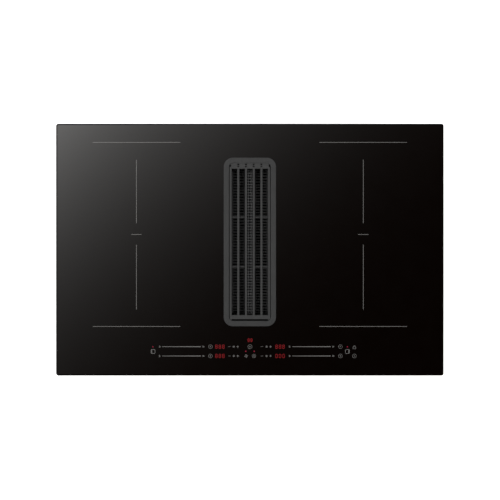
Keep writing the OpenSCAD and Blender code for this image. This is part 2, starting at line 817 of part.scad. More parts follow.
// Plastic carriers on the case floor that hold the power boards
module board_trays() color("#2c2d30") for (s = sides) translate([s * zone_x, board_y, 0]) difference() {
    union() {
        block(board_w + 8, board_d + 8, 4, floor_z, floor_z + carrier_t);
        for (x = sides, y = sides) translate([x * (board_w / 2 - 8), y * (board_d / 2 - 8), 0])
            rod(4, floor_z, board_z);
        rod(4, floor_z, board_z);
    }
    for (x = sides, y = [-1:1]) translate([x * board_w / 4, y * 0.3 * board_d, 0])
        block(board_w * 0.28, board_d * 0.16, 3, floor_z - 1, floor_z + 5);
}

module power_boards() color("#1f6b3a") for (s = sides) translate([s * zone_x, board_y, 0])
    block(board_w, board_d, 3, board_z, board_top);

// Finned heat sinks on the power boards
module heatsinks() color("#b9bcbe") for (s = sides)
    translate([s * (zone_x + sink_x), board_y - sink_shift, board_top]) union() {
        translate([0, 0, sink_base / 2]) cube([sink_w, sink_d, sink_base], center = true);
        for (i = [-6:6]) translate([i * (sink_w - fin_t) / 12, 0, (sink_h + sink_base) / 2])
            cube([fin_t, sink_d, sink_h - sink_base + eps], center = true);
    }

// Capacitors, chokes, relays and plugs on the three boards
module board_components() color("#2a3f6e") {
    for (s = sides) translate([s * zone_x, board_y, 0]) {
        for (i = [0:2]) translate([-s * (board_w / 2 - 27), (0.136 * i - 0.36) * board_d, 0])
            rod(cap_r, board_top, board_top + cap_h);
        for (i = [0:1]) translate([-s * board_w / 8, (0.16 * i - 0.336) * board_d, board_top + choke_h / 2])
            cube([choke_w, choke_d, choke_h], center = true);
        for (i = [0:3]) translate([s * (i * relay_pitch - 30), 0.28 * board_d, board_top + relay_w / 2])
            cube([relay_w, relay_d, relay_w], center = true);
        translate([-s * (board_w / 2 - 47), board_d / 2 - 17, board_top + socket_h / 2])
            cube([socket_w, socket_d, socket_h], center = true);
    }
    translate([0, mains_y, 0]) {
        for (x = [-3, -1]) translate([x * mains_part_x, 0, 0])
            rod(cap_r - 1, board_top, board_top + cap_h - 2);
        for (x = [1:1.5:4]) translate([x * mains_part_x, 0, board_top + mains_relay_h / 2])
            cube([mains_relay_w, relay_d, mains_relay_h], center = true);
    }
}

// Square fan housings with a bottom spider that carries the axle
module fan_frame(s) color("#1b1b1d") translate([s * fan_x, fan_y, 0]) difference() {
    union() {
        difference() {
            block(fan_side, fan_side, 5, floor_z, floor_z + fan_h);
            rod(fan_bore, floor_z - 1, floor_z + fan_h + 1);
        }
        rod(rotor_hub, floor_z, floor_z + 3);
        for (a = [45:90:315]) rotate(a) translate([(fan_bore + rotor_hub) / 2, 0, floor_z + 1.5])
            cube([fan_bore - rotor_hub + 3, 4, 3], center = true);
        rod(1.5, floor_z, floor_z + fan_h - 3);
    }
    for (x = sides, y = sides) translate([x * (fan_side / 2 - 5), y * (fan_side / 2 - 5), 0])
        rod(2.2, floor_z - 1, floor_z + fan_h + 1);
}
module fan_frame_left() fan_frame(-1);
module fan_frame_right() fan_frame(1);

// Seven pitched blades on a hub, running on the axle
module fan_rotor(s) color("#26272a") translate([s * fan_x, fan_y, floor_z]) difference() {
    union() {
        rod(rotor_hub, 3 + slip, fan_h - 4);
        for (k = [0:6]) rotate(k * 360 / 7) intersection() {
            translate([(rotor_r + rotor_hub) / 2, 0, fan_h / 2]) rotate([35, 0, 0])
                cube([rotor_r - rotor_hub + 8, 22, 1.4], center = true);
            tube(rotor_r, rotor_hub - 2, 3 + slip, fan_h - 4);
        }
    }
    rod(1.55, 0, fan_h);
}
module fan_rotor_left() fan_rotor(-1);
module fan_rotor_right() fan_rotor(1);

module mains_board() color("#1f6b3a") translate([0, mains_y, 0]) union() {
    block(mains_w, mains_d, 2, board_z, board_top);
    for (x = sides, y = sides) translate([x * (mains_w / 2 - 6), y * (mains_d / 2 - 6), 0])
        rod(3, floor_z, board_z + eps);
}

// Tray under the touch board, hung from the glass
module control_tray() color("#222325") translate([0, control_y, 0]) {
    difference() {
        block(control_w, control_d, 3, control_z, glass_z);
        block(control_w - 2 * control_wall, control_d - 2 * control_wall, 1,
            control_z + control_wall, glass_z + 1);
    }
    for (x = [-2:2], y = sides) translate([x * (control_w / 2 - 14) / 2, y * (control_d / 2 - 8), 0])
        rod(3, control_z + control_wall - eps, touch_z);
}

module touch_board() color("#174f2c") translate([0, control_y, 0])
    block(control_w - 2 * control_wall - 2, control_d - 2 * control_wall - 2, 1, touch_z, touch_top);

// Digit modules: two at each side and one in the middle, above the fan keys
module display_modules() color("#301012") translate([0, keys_y, touch_top]) {
    module_h = glass_z - touch_top - slip;
    for (s = sides, y = sides) translate([s * digit_x - 11, y * row_pitch / 2 - 4, 0])
        cube([22, 8, module_h]);
    translate([-7, row_pitch + 1, 0]) cube([14, 7, module_h]);
}

// Touch springs between the board and the glass, under the sliders
module touch_pads() color("#c9b26a") for (x0 = slider_x0, y = sides, i = [0:pads_per_slider - 1])
    translate([x0 + i * slider_len / (pads_per_slider - 1), keys_y + y * row_pitch / 2, 0])
        rod(2.5, touch_top, glass_z);

// The scroll's outline, grown outwards by a wall
module sector(r, a) rotate(a) intersection() {
    circle(r);
    square(r + 1);
}
module scroll_outline(grow) {
    translate([impeller_x + arc, impeller_y - arc]) sector(scroll_r + grow, 0);
    translate([impeller_x - arc, impeller_y - arc]) sector(scroll_r + scroll_step + grow, 270);
    translate([impeller_x - arc, impeller_y + arc]) sector(scroll_r + 2 * scroll_step + grow, 180);
    translate([impeller_x - arc - eps, impeller_y - arc - scroll_r])
        square([2 * arc + 2 * eps, 2 * scroll_r + grow]);
    translate([scroll_left - grow, impeller_y - arc])
        square([mouth_w + 2 * grow, outlet_y0 - impeller_y + arc + 1]);
    translate([impeller_x + arc, impeller_y + arc]) sector(scroll_r - scroll_step + grow, 90);
    translate([scroll_left - grow, outlet_y0 - grow])
        square([outlet_in_w + 2 * grow, outlet_y1 - outlet_y0 + grow]);
}
module chamber_outline(inset) {
    x0 = sump_w / 2 - (inset > 0 ? duct_wall * 4 : 0);
    x1 = scroll_right + duct_wall - inset;
    y0 = scroll_front - duct_wall + inset;
    y1 = scroll_back + duct_wall - inset;
    translate([x0, y0]) square([x1 - x0, y1 - y0]);
}

// Ears that hold the air chamber up to the case
module chamber_ears() translate([sump_w / 2, 0, 0]) {
    for (x = [0.3, 0.75]) translate([x * (scroll_right - sump_w / 2), scroll_front - duct_wall - 7, 0])
        children();
    for (x = [0.3, 0.9]) translate([x * (scroll_right - sump_w / 2), scroll_back + duct_wall + 7, 0])
        children();
}

// Box that leads the air from the sump's window over the blower's inlet
module blower_chamber() color("#2a2b2e") difference() {
    union() {
        translate([0, 0, chamber_floor]) linear_extrude(chamber_h) chamber_outline(0);
        chamber_ears() translate([0, 0, case_z - bracket_t / 2]) cube([14, 16, bracket_t], center = true);
    }
    translate([0, 0, chamber_floor - 1]) linear_extrude(chamber_h - duct_wall + 1) chamber_outline(duct_wall);
    chamber_ears() rod(ear_hole_r, chamber_floor, case_z + 1);
}

// Plate between the chamber and the scroll, with a rolled inlet
module blower_deck() color("#303135") difference() {
    union() {
        translate([0, 0, tub_top]) linear_extrude(deck_t) {
            chamber_outline(0);
            scroll_outline(duct_wall);
        }
        translate([impeller_x, impeller_y, tub_top - inlet_lip])
            cylinder(r = inlet_r + 2, h = inlet_lip + eps);
    }
    translate([impeller_x, impeller_y, 0]) rod(inlet_r, tub_top - inlet_lip - 1, chamber_floor + 1);
}

// Lower half of the blower: the scroll's wall and floor, dished up under the motor
module blower_tub() color("#26272a") difference() {
    union() {
        difference() {
            translate([0, 0, base_z]) linear_extrude(tub_top - base_z) scroll_outline(duct_wall);
            translate([0, 0, tub_floor]) linear_extrude(tub_top - tub_floor + 1) scroll_outline(0);
            translate([scroll_left, outlet_y1 - 1, tub_floor])
                cube([outlet_in_w, 2, tub_top - tub_floor + 1]);
        }
        translate([impeller_x, impeller_y, 0]) rod(dish_r, base_z, motor_base_z);
    }
    translate([impeller_x, impeller_y, 0]) rod(dish_r - duct_wall, base_z - 1, motor_base_z - duct_wall);
    translate([impeller_x, impeller_y, 0]) motor_screws() rod(ear_hole_r, base_z - 1, motor_base_z + 1);
}

// Impeller: hub cup, back plate, curved blades and the ring at the eye
module blade() intersection() {
    translate([impeller_r - 13, -9]) difference() {
        circle(16);
        circle(16 - blade_t);
    }
    translate([eye_r - 0.5, -3]) square([impeller_r - eye_r - 0.5, 14]);
}
module impeller() color("#3b3d41") translate([impeller_x, impeller_y, 0]) union() {
    tube(impeller_r, hub_r - eps, blade_z - 2.5, blade_z);
    tube(hub_r, hub_r - hub_wall, blade_z - 2.5, hub_top);
    tube(hub_r, shaft_axle_r, hub_top - hub_wall, hub_top + hub_wall);
    tube(impeller_r, eye_r, blade_z + blade_h, blade_z + blade_h + ring_h);
    translate([0, 0, blade_z - eps]) linear_extrude(blade_h + 2 * eps)
        for (k = [0:blade_count - 1]) rotate(k * 360 / blade_count) blade();
}

// Steel can and axle of the outer-rotor motor
module motor_rotor() color("#9fa2a5") translate([impeller_x, impeller_y, 0]) {
    tube(can_r - eps, can_r - can_wall, blade_z - 1, hub_top - hub_wall - eps);
    tube(can_r - eps, shaft_axle_r - eps, hub_top - 2 * hub_wall, hub_top - hub_wall - eps);
    rod(shaft_axle_r - eps, motor_base_z + 1, hub_top + hub_wall);
}

module motor_screws() for (a = [0:120:240]) rotate(a) translate([stator_r - 12, 0, 0]) children();

// Fixed half of the motor: base plate, bearing tube and wound poles
module motor_stator() color("#7a4a2c") translate([impeller_x, impeller_y, 0]) difference() {
    union() {
        rod(stator_r, motor_base_z, motor_base_z + 3);
        rod(bearing_r + 3, motor_base_z, bearing_tube_top);
        for (a = [0:30:330]) rotate(a)
            translate([(stator_r + bearing_r) / 2, 0, (motor_base_z + hub_top) / 2 - 1])
                cube([stator_r - bearing_r - 2, 7, 12], center = true);
    }
    rod(bearing_r, motor_base_z - 1, hub_top);
    motor_screws() rod(shank_r + 0.1, motor_base_z - 1, motor_base_z + 2);
}

module motor_bearings() color("#d0d2d4") translate([impeller_x, impeller_y, 0]) {
    for (z = [motor_base_z + 0.5, bearing_tube_top - bearing_h])
        tube(bearing_r - eps, shaft_axle_r + axle_fit, z, z + bearing_h);
}

// Rectangular duct spigot with a plug that sits in the blower's outlet
module outlet_spigot() color("#3a3c3f") translate([outlet_x, 0, spigot_z]) difference() {
    union() {
        translate([0, outlet_y1 + spigot_len / 2, 0]) cube([spigot_w, spigot_len, spigot_h], center = true);
        translate([0, outlet_y1 - plug_len / 2, 0])
            cube([outlet_in_w - 2 * slip, plug_len + 2 * eps, tub_top - tub_floor - 2 * slip], center = true);
    }
    translate([0, outlet_y1, 0])
        cube([outlet_in_w - 4, 4 * spigot_len, spigot_h - 2 * spigot_wall - 2], center = true);
    translate([0, flap_y + spigot_len, 0])
        cube([outlet_in_w, 2 * spigot_len + 2 * flap_stop, spigot_h - 2 * spigot_wall], center = true);
    translate([0, flap_y, flap_z - spigot_z]) rotate([0, 90, 0])
        cylinder(r = flap_pin_r + 0.05, h = spigot_w + 2, center = true);
}

// Flap that hangs shut and blows open, with its pin
module backdraft_flap() color("#55585b") translate([outlet_x, flap_y, flap_z]) {
    rotate([0, 90, 0]) cylinder(r = flap_pin_r, h = spigot_w, center = true);
    rotate([0, 90, 0]) cylinder(r = flap_pin_r + 1.2, h = flap_w, center = true);
    translate([0, 0, -flap_h / 2]) cube([flap_w, flap_t, flap_h], center = true);
    for (z = [0.35, 0.7]) translate([0, flap_t / 2, -flap_h * z]) cube([flap_w - 20, 2, 1.6], center = true);
}

// Mains connection box: four walls under the case's floor, open at the bottom, with a hinged lid
module terminal_box() color("#1a1b1d") translate([term_x, term_y, 0]) difference() {
    union() {
        difference() {
            block(term_w, term_d, 4, case_z - term_h, case_z);
            block(term_w - 2 * term_wall, term_d - 2 * term_wall, 2, case_z - term_h - 1, case_z + 1);
        }
        for (s = sides) translate([s * (term_w / 2 - 8), hinge_y, case_z - term_h]) {
            rotate([0, 90, 0]) cylinder(r = hinge_r, h = 10, center = true);
            translate([-5, 0, 0]) cube([10, hinge_r + 1, 2 * hinge_r]);
        }
    }
    translate([0, hinge_y, case_z - term_h]) rotate([0, 90, 0]) cylinder(r = 1.25, h = term_w, center = true);
    translate([gland_x, term_d / 2, case_z - term_h / 2]) rotate([90, 0, 0])
        cylinder(r = gland_neck, h = 10, center = true);
}

// Lid that swings down about the pin at its front edge
module terminal_lid() color("#222325") translate([term_x, term_y, case_z - term_h]) {
    translate([0, 0, -term_lid_t - 0.2]) linear_extrude(term_lid_t) rrect(term_w, term_d - 1, 4);
    for (s = sides) translate([s * (term_w / 2 - 24), hinge_y, 0]) {
        rotate([0, 90, 0]) cylinder(r = hinge_r, h = 16, center = true);
        translate([-8, 0, -term_lid_t - 0.2]) cube([16, hinge_r + 1.5, term_lid_t - 1]);
    }
    translate([0, hinge_y, 0]) rotate([0, 90, 0]) cylinder(r = 1.2, h = term_w - 6, center = true);
}

// Six-way screw terminals under a window in the case's floor, which the block covers
module terminal_block() color("#dcd8cc")
    translate([term_x, term_y - block_back, case_z - block_size[2] / 2]) difference() {
        cube(block_size, center = true);
        for (i = [-2.5:2.5]) translate([i * 10, 0, -block_size[2] / 2 - 1]) cylinder(r = 2.5, h = 6);
        for (i = [-2.5:2.5], y = sides) translate([i * 10, y * block_size[1] / 2, 0]) rotate([90, 0, 0])
            cylinder(r = 2.4, h = 10, center = true);
    }

// Screwed gland that the supply cable comes in through
module cable_gland() color("#111214") translate([term_x + gland_x, term_y + term_d / 2, case_z - term_h / 2])
    rotate([-90, 0, 0]) difference() {
        union() {
            rod(gland_neck - 0.05, -term_wall - eps, eps);
            rod(gland_r, 0, 4);
            rod(gland_r - 2, 4 - eps, 16);
            translate([0, 0, -term_wall - 4]) cylinder(r = gland_r, h = 4, $fn = 6);
            translate([0, 0, 8]) cylinder(r = gland_r + 0.5, h = 7, $fn = 6);
        }
        rod(gland_bore, -term_wall - 5, 17);
    }

// Places of the four worktop clamps; each is drawn for the right side and turned for the left
module clamp_places() for (s = [0, 180], y = sides)
    translate([0, y * clamp_pitch / 2, 0]) rotate(s) translate([clamp_x, 0, 0]) children();

module clamp_brackets() color("#b4b7b9") clamp_places() difference() {
    union() {
        translate([-bracket_in, -bracket_w / 2, case_z - bracket_t])
            cube([bracket_in + bracket_out, bracket_w, bracket_t]);
        rod(6, case_z - bracket_t - 5, case_z);
    }
    rod(clamp_r + 0.05, case_z - 20, case_z + 1);
    translate([-bracket_screw, 0, 0]) rod(ear_hole_r, case_z - 20, case_z + 1);
}

// Pan-head screws that hold the shaft, the sump, the chamber, the posts, the motor and the brackets
module pan_screw(grip_t, bite) {
    rod(screw_head_r, -grip_t - screw_head_t, -grip_t);
    rod(shank_r, -grip_t - eps, bite);
}
module fixing_screws() color("#c9cbcd") {
    at_intake() rim_screws() translate([0, 0, slip + duct_wall]) {
        rod(screw_head_r, 0, screw_head_t);
        rod(shank_r, -slip - duct_wall - screw_bite + 0.5, eps);
    }
    floor_screws() translate([0, 0, case_z]) pan_screw(bracket_t, sheet_t + 3);
    post_places() translate([0, 0, case_z]) pan_screw(0, sheet_t + 8);
    translate([impeller_x, impeller_y, motor_base_z]) motor_screws() pan_screw(duct_wall, 1.5);
}

// Long screw that presses a pad up against the underside of the worktop
module clamp_screw(x, y) color("#8f9295") translate([x * clamp_x, y * clamp_pitch / 2, 0]) {
    rod(clamp_r, clamp_tip - clamp_len, clamp_tip - 0.5);
    rod(clamp_pad, clamp_tip - clamp_pad_t, clamp_tip);
    translate([0, 0, clamp_tip - clamp_len - 4]) cylinder(r = 4.6, h = 4 + eps, $fn = 6);
    translate([0, 0, clamp_tip - clamp_len - 9]) linear_extrude(6) square([2.5, 20], center = true);
}
module clamp_left_front() clamp_screw(-1, -1);
module clamp_left_rear() clamp_screw(-1, 1);
module clamp_right_front() clamp_screw(1, -1);
module clamp_right_rear() clamp_screw(1, 1);

glass_top();
worktop_seal();
intake_rim();
intake_grille();
grille_pads();
filter_frame();
filter_ridge();
filter_panels();
filter_mesh();
grease_tray();
air_shaft();
shaft_gasket();
sump_housing();
oil_cup();
cup_seal();
case();
coil_insulation();
coil_left_front();
coil_left_rear();
coil_right_front();
coil_right_rear();
coil_formers();
ferrites();
coil_plate_left();
coil_plate_right();
plate_posts();
plate_springs();
zone_sensors();
board_trays();
power_boards();
heatsinks();
board_components();
fan_frame_left();
fan_frame_right();
fan_rotor_left();
fan_rotor_right();
mains_board();
control_tray();
touch_board();
display_modules();
touch_pads();
blower_chamber();
blower_deck();
blower_tub();
impeller();
motor_rotor();
motor_stator();
motor_bearings();
outlet_spigot();
backdraft_flap();
terminal_box();
terminal_lid();
terminal_block();
cable_gland();
clamp_brackets();
fixing_screws();
clamp_left_front();
clamp_left_rear();
clamp_right_front();
clamp_right_rear();
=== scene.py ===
# %% [markdown]
# # Dressing a downdraft induction cooktop
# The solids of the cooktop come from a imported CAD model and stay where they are. This lesson puts a camera,
# light and finishes round them, and swaps a few plain solids for finer ones that are worked out with numpy.
# Every length is in metres, X runs to the right, Y to the back, and the glass lies flat near Z = 0.

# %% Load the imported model
import math
from functools import partial

import bmesh
import bpy
import numpy as np
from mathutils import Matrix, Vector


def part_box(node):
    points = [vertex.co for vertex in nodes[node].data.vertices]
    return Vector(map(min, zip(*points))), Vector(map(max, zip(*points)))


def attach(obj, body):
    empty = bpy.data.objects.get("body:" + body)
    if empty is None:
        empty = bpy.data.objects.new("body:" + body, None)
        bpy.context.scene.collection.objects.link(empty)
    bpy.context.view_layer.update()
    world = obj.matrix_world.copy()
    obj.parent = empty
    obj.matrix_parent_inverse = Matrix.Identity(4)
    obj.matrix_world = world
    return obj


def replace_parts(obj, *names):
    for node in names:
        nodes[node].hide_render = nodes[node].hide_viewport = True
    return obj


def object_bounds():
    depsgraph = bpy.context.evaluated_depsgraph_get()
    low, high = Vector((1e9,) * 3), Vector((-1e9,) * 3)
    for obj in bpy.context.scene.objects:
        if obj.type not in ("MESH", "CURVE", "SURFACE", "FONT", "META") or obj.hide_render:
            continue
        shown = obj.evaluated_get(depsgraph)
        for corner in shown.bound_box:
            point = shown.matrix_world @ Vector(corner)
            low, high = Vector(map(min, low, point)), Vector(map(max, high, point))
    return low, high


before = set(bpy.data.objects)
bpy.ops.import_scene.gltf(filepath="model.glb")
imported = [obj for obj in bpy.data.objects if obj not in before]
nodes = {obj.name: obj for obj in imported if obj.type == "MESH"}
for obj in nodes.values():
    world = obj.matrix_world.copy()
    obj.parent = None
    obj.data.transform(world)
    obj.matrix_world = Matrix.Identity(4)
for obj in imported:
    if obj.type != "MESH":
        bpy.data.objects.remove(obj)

cad_low, cad_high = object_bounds()
MM = 0.001


def box_mm(node):
    """The low and the high corner of a node's box, as two arrays in millimetres."""
    low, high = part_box(node)
    return np.array(low) / MM, np.array(high) / MM


def shown(name, data):
    """An object that holds the data, linked to the scene."""
    made = bpy.data.objects.new(name, data)
    bpy.context.scene.collection.objects.link(made)
    return made


print("nodes", len(nodes), "CAD box in mm", [round(1000 * v, 1) for v in (*cad_low, *cad_high)])

# %% [markdown]
# ## The camera comes first
# The picture is a plan view, taken from far above with a long lens, so the edges of the glass show no sides.
# An orthographic camera would do the same, but a real lens lets reflections shift a little over the glass,
# which is what draws the soft grey corner. The lens length follows from the width that the picture spans.

# %% Camera straight above the glass
GLASS_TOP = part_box("glass_top")[1].z
STAND_OFF = 6.0  # metres from the glass to the lens
PICTURE_WIDTH = 1.03175  # metres of glass and ground that the picture spans
AIM_X, AIM_Y = 0.31 * MM, -0.62 * MM

camera_data = bpy.data.cameras.new("plan_camera")
camera_data.sensor_width = 36
camera_data.lens = 36 * STAND_OFF / PICTURE_WIDTH
camera_data.clip_end = 80
camera = shown("plan_camera", camera_data)
camera.location = (AIM_X, AIM_Y, GLASS_TOP + STAND_OFF)
bpy.context.scene.camera = camera
bpy.context.scene.view_settings.view_transform = "Standard"
print("lens", round(camera_data.lens, 1), "mm, glass top at", round(1000 * GLASS_TOP, 2), "mm")

# %% [markdown]
# ## Small helpers for materials
# A finish is one Principled shader with a few textures in front of it. Each texture reads Object coordinates,
# which are metres in this model, so a grain of half a millimetre is just one over 0.0005. A little class keeps
# the wiring short: `grain` and `cells` give a value from 0 to 1, and `tone`, `gloss` and `relief` spend it.

# %% Colours and nodes
def linear(code):
    """A web colour such as 404241, taken from its display values to linear light."""
    values = np.array([int(code[i:i + 2], 16) for i in (0, 2, 4)]) / 255
    light = np.where(values <= 0.04045, values / 12.92, ((values + 0.055) / 1.055) ** 2.4)
    return (*light.tolist(), 1.0)


def add_node(tree, kind, links=None, **values):
    """A node with its settings; links maps an input to the output that feeds it."""
    made = tree.nodes.new(kind)
    for key, value in values.items():
        if hasattr(made, key):
            setattr(made, key, value)
        else:
            made.inputs[key.replace("_", " ")].default_value = value
    for key, output in (links or {}).items():
        tree.links.new(output, made.inputs[key])
    return made


def math_node(tree, operation, first, second=0.0):
    """The outcome of a math node, such as ADD or MULTIPLY; first and second are outputs or plain numbers."""
    made = add_node(tree, "ShaderNodeMath", operation=operation)
    for socket, value in zip(made.inputs, (first, second)):
        if isinstance(value, float):
            socket.default_value = value
        else:
            tree.links.new(value, socket)
    return made.outputs[0]


print("404241 is", [round(v, 3) for v in linear("404241")], "in linear light")

# %% A finish and its textures
class Finish:
    """One material: a Principled shader with textures in object space."""

    def __init__(self, name, colour, roughness=0.5, metallic=0.0, **sockets):
        self.material = bpy.data.materials.new(name)
        self.material.use_nodes = True
        self.tree = self.material.node_tree
        self.shader = self.tree.nodes["Principled BSDF"]
        self.shader.inputs["Base Color"].default_value = linear(colour)
        self.shader.inputs["Roughness"].default_value = roughness
        self.shader.inputs["Metallic"].default_value = metallic
        for socket, value in sockets.items():
            self.shader.inputs[socket.replace("_", " ")].default_value = value
        self.place = self.node("ShaderNodeTexCoord").outputs["Object"]

    def node(self, kind, links=None, **values):
        """A node of this material."""
        return add_node(self.tree, kind, links, **values)

    def stretched(self, stretch=(1, 1, 1)):
        """The object coordinates, stretched."""
        return self.node("ShaderNodeMapping", {0: self.place}, Scale=stretch).outputs[0]

    def grain(self, size, detail=2.0, stretch=(1, 1, 1)):
        """Soft noise whose blobs are about size millimetres wide."""
        return self.node("ShaderNodeTexNoise", {0: self.stretched(stretch)}, Scale=1 / (size * MM),
                         Detail=detail).outputs[0]

    def cells(self, size, output="Distance"):
        """Voronoi cells about size millimetres wide."""
        return self.node("ShaderNodeTexVoronoi", {0: self.stretched()}, Scale=1 / (size * MM)).outputs[output]

    def waves(self, pitch, direction="X"):
        """Parallel bands, pitch millimetres from one to the next: one sine over 20 scale units."""
        return self.node("ShaderNodeTexWave", {0: self.stretched()}, bands_direction=direction,
                         Scale=2 * math.pi / (20 * pitch * MM)).outputs["Fac"]

    def span(self, factor, low, high, start=0.3, end=0.7):
        """factor from start to end, laid over low to high."""
        return self.node("ShaderNodeMapRange", {0: factor}, From_Min=start, From_Max=end,
                         To_Min=low, To_Max=high).outputs[0]

    def tone(self, factor, *stops):
        """Base colour from a ramp of (position, web colour) stops."""
        ramp = self.node("ShaderNodeValToRGB", {0: factor})
        points = ramp.color_ramp.elements
        while len(points) < len(stops):
            points.new(0.5)
        for point, (position, code) in zip(points, stops):
            point.position = position
            point.color = linear(code)
        self.tree.links.new(ramp.outputs[0], self.shader.inputs["Base Color"])
        return self

    def gloss(self, factor, low, high):
        """Roughness from low to high."""
        self.tree.links.new(self.span(factor, low, high), self.shader.inputs["Roughness"])
        return self

    def relief(self, factor, depth, strength=0.6):
        """A bump of depth millimetres."""
        bump = self.node("ShaderNodeBump", {"Height": factor}, Strength=strength, Distance=depth * MM)
        last = self.shader.inputs["Normal"]
        if last.is_linked:
            self.tree.links.new(last.links[0].from_socket, bump.inputs["Normal"])
        self.tree.links.new(bump.outputs[0], last)
        return self


finishes = {}
print("finish maker ready")

# %% [markdown]
# ## Finishes that the picture shows
# Black ceramic glass is a clear glass that is nearly black right through, so nearly all that the eye sees on
# it is a reflection. Its own colour is a warm black. The rim and the grille are die-cast and powder-coated in
# anthracite: a satin coat with a fine orange-peel grain. The printed lines are baked ceramic ink, which is
# made of dots. The digits are lamps under the glass, drawn here as thin glowing segments in its surface.
# The filter is powder-coated too. Its slopes lie deep near the ridge, where little light falls, and the picture
# shows them about as bright there as outside, so their coat gets lighter towards the ridge.

# %% Glass, print and lamps
black_glass = Finish("black_ceramic_glass", "060302", roughness=0.035, IOR=1.5)
black_glass.tone(black_glass.grain(38, 3), (0.3, "050201"), (0.7, "060302"))
black_glass.relief(black_glass.grain(90, 1), 0.01, 0.02)
finishes["glass"] = black_glass

ink = Finish("grey_ceramic_ink", "6c6b69", roughness=0.3)
ink.tone(ink.cells(0.35), (0.1, "7a7977"), (0.6, "615f5d"))
ink.relief(ink.cells(0.35), 0.01, 0.4)
finishes["ink"] = ink


def lamp_finish(name, bright, dim, strength):
    """A glowing segment, brighter in its middle by a soft grain."""
    made = Finish(name, dim, roughness=0.25, Emission_Strength=strength)
    ramp = made.node("ShaderNodeValToRGB", {0: made.grain(1.2, 1)})
    ramp.color_ramp.elements[0].color = linear(dim)
    ramp.color_ramp.elements[1].color = linear(bright)
    made.tree.links.new(ramp.outputs[0], made.shader.inputs["Emission Color"])
    return made


finishes["digit"] = lamp_finish("red_digit_lamp", "9a1218", "6c0a10", 0.3)
finishes["dot"] = lamp_finish("red_dot_lamp", "a81438", "700e26", 0.28)
print("glass, print and lamp finishes")

# %% Anthracite coats
def satin(made, roughness):
    """The skin of a powder coat: blobs of orange peel under a finer grain."""
    peel = made.grain(0.9, 3)
    made.gloss(peel, roughness - 0.05, roughness + 0.08)
    return made.relief(peel, 0.03, 0.3).relief(made.cells(0.35), 0.01, 0.3)


def powder_coat(name, dark, light, roughness=0.5, shade_below=None, shade_behind=None):
    """Satin powder coat with a soft cloud in its tone. Given a height in millimetres, the colour below it is
    painted
    nearly black: painted shade in narrow gaps. Given also a depth, behind it that height is 3.2 millimetres more,
    for painted shade on the walls of the small vents there."""
    made = Finish(name, light, roughness=roughness, Specular_IOR_Level=0.3)
    cloud = made.grain(14, 4)
    if shade_below is None:
        return satin(made.tone(cloud, (0.35, dark), (0.65, light)), roughness)
    place = made.node("ShaderNodeSeparateXYZ", {0: made.place})
    height = place.outputs[2]
    # Behind the given depth the painted shade reaches 3.2 mm higher, down the walls of the vents.
    if shade_behind is not None:
        drop = made.span(place.outputs[1], 0, 3.2 * MM, (shade_behind - 0.5) * MM, shade_behind * MM)
        height = math_node(made.tree, "SUBTRACT", height, drop)
    # Painted shade: below the given height the colour turns near black, where the gaps are shaded.
    unshaded = made.span(height, 0, 1, (shade_below - 0.5) * MM, shade_below * MM)
    shade = math_node(made.tree, "MULTIPLY", made.span(cloud, 0.5, 1.0), unshaded)
    return satin(made.tone(shade, (0.0, "060606"), (0.5, dark), (1.0, light)), roughness)


# The rim gets painted shade below 6.8 mm. The grille gets it below 3.2 mm, and on its vent walls behind 168.8 mm.
finishes["rim"] = powder_coat("satin_anthracite_rim", "313131", "353535", 0.55, 6.8)
finishes["grille"] = powder_coat("satin_anthracite_grille", "333333", "363636", 0.55, 3.2, 168.8)
finishes["perforated"] = powder_coat("dark_filter_coat", "4a4a4a", "525252")
finishes["filter_black"] = powder_coat("black_filter_frame_coat", "161616", "1b1b1b")

slope_coat = Finish("dark_slope_coat", "414141", roughness=0.5, Specular_IOR_Level=0.3)
sideways = slope_coat.node("ShaderNodeSeparateXYZ", {0: slope_coat.place}).outputs[0]
from_ridge = math_node(slope_coat.tree, "ABSOLUTE", sideways)
slope_coat.tone(slope_coat.span(from_ridge, 0.0, 1.0, 12 * MM, 34 * MM), (0.1, "535353"), (0.9, "3a3a3a"))
finishes["slope"] = satin(slope_coat, 0.5)
print("powder coats")

# %% [markdown]
# ## Finishes of sheet metal
# Brushed steel has long fine scratches along one direction: a noise that is stretched forty times. Zinc-coated
# sheet freezes in flat crystals, each with its own tone, and Voronoi cells draw just that. Extruded or pressed
# aluminium has faint draw lines. All of them are metallic, so tone and gloss vary but the hue stays grey.

# %% Steel, zinc and aluminium
def brushed(name, dark, light, along=(1, 0.025, 1), roughness=0.32, size=0.5):
    """Long scratches: a noise squeezed along one axis, in tone, gloss and relief."""
    made = Finish(name, light, roughness=roughness, metallic=1.0)
    scratch = made.grain(size, 4, stretch=along)
    made.tone(scratch, (0.3, dark), (0.7, light))
    made.gloss(scratch, roughness - 0.07, roughness + 0.1)
    made.relief(scratch, 0.02, 0.4)
    return made


def zinc_coat(name, dark, light, size, roughness=0.42):
    """Frozen zinc crystals: Voronoi cells of about size millimetres with a random tone each."""
    made = Finish(name, light, roughness=roughness, metallic=0.9)
    crystal = made.cells(size, output="Color")
    value = made.node("ShaderNodeSeparateColor", {0: crystal}).outputs[0]
    made.tone(value, (0.0, dark), (1.0, light))
    made.gloss(value, roughness - 0.02, roughness + 0.03)
    made.relief(made.grain(0.7, 3), 0.015, 0.3)
    return made


def zinc_plate(name, dark, light, roughness=0.3):
    """Zinc from a plating bath: even and bright, with a soft cloud and fine rolling marks under it."""
    made = Finish(name, light, roughness=roughness, metallic=1.0)
    made.tone(made.grain(9, 3), (0.3, dark), (0.7, light))
    made.gloss(made.grain(3, 2), roughness - 0.05, roughness + 0.08)
    made.relief(made.grain(0.6, 2, stretch=(0.2, 1, 1)), 0.015, 0.4)
    return made


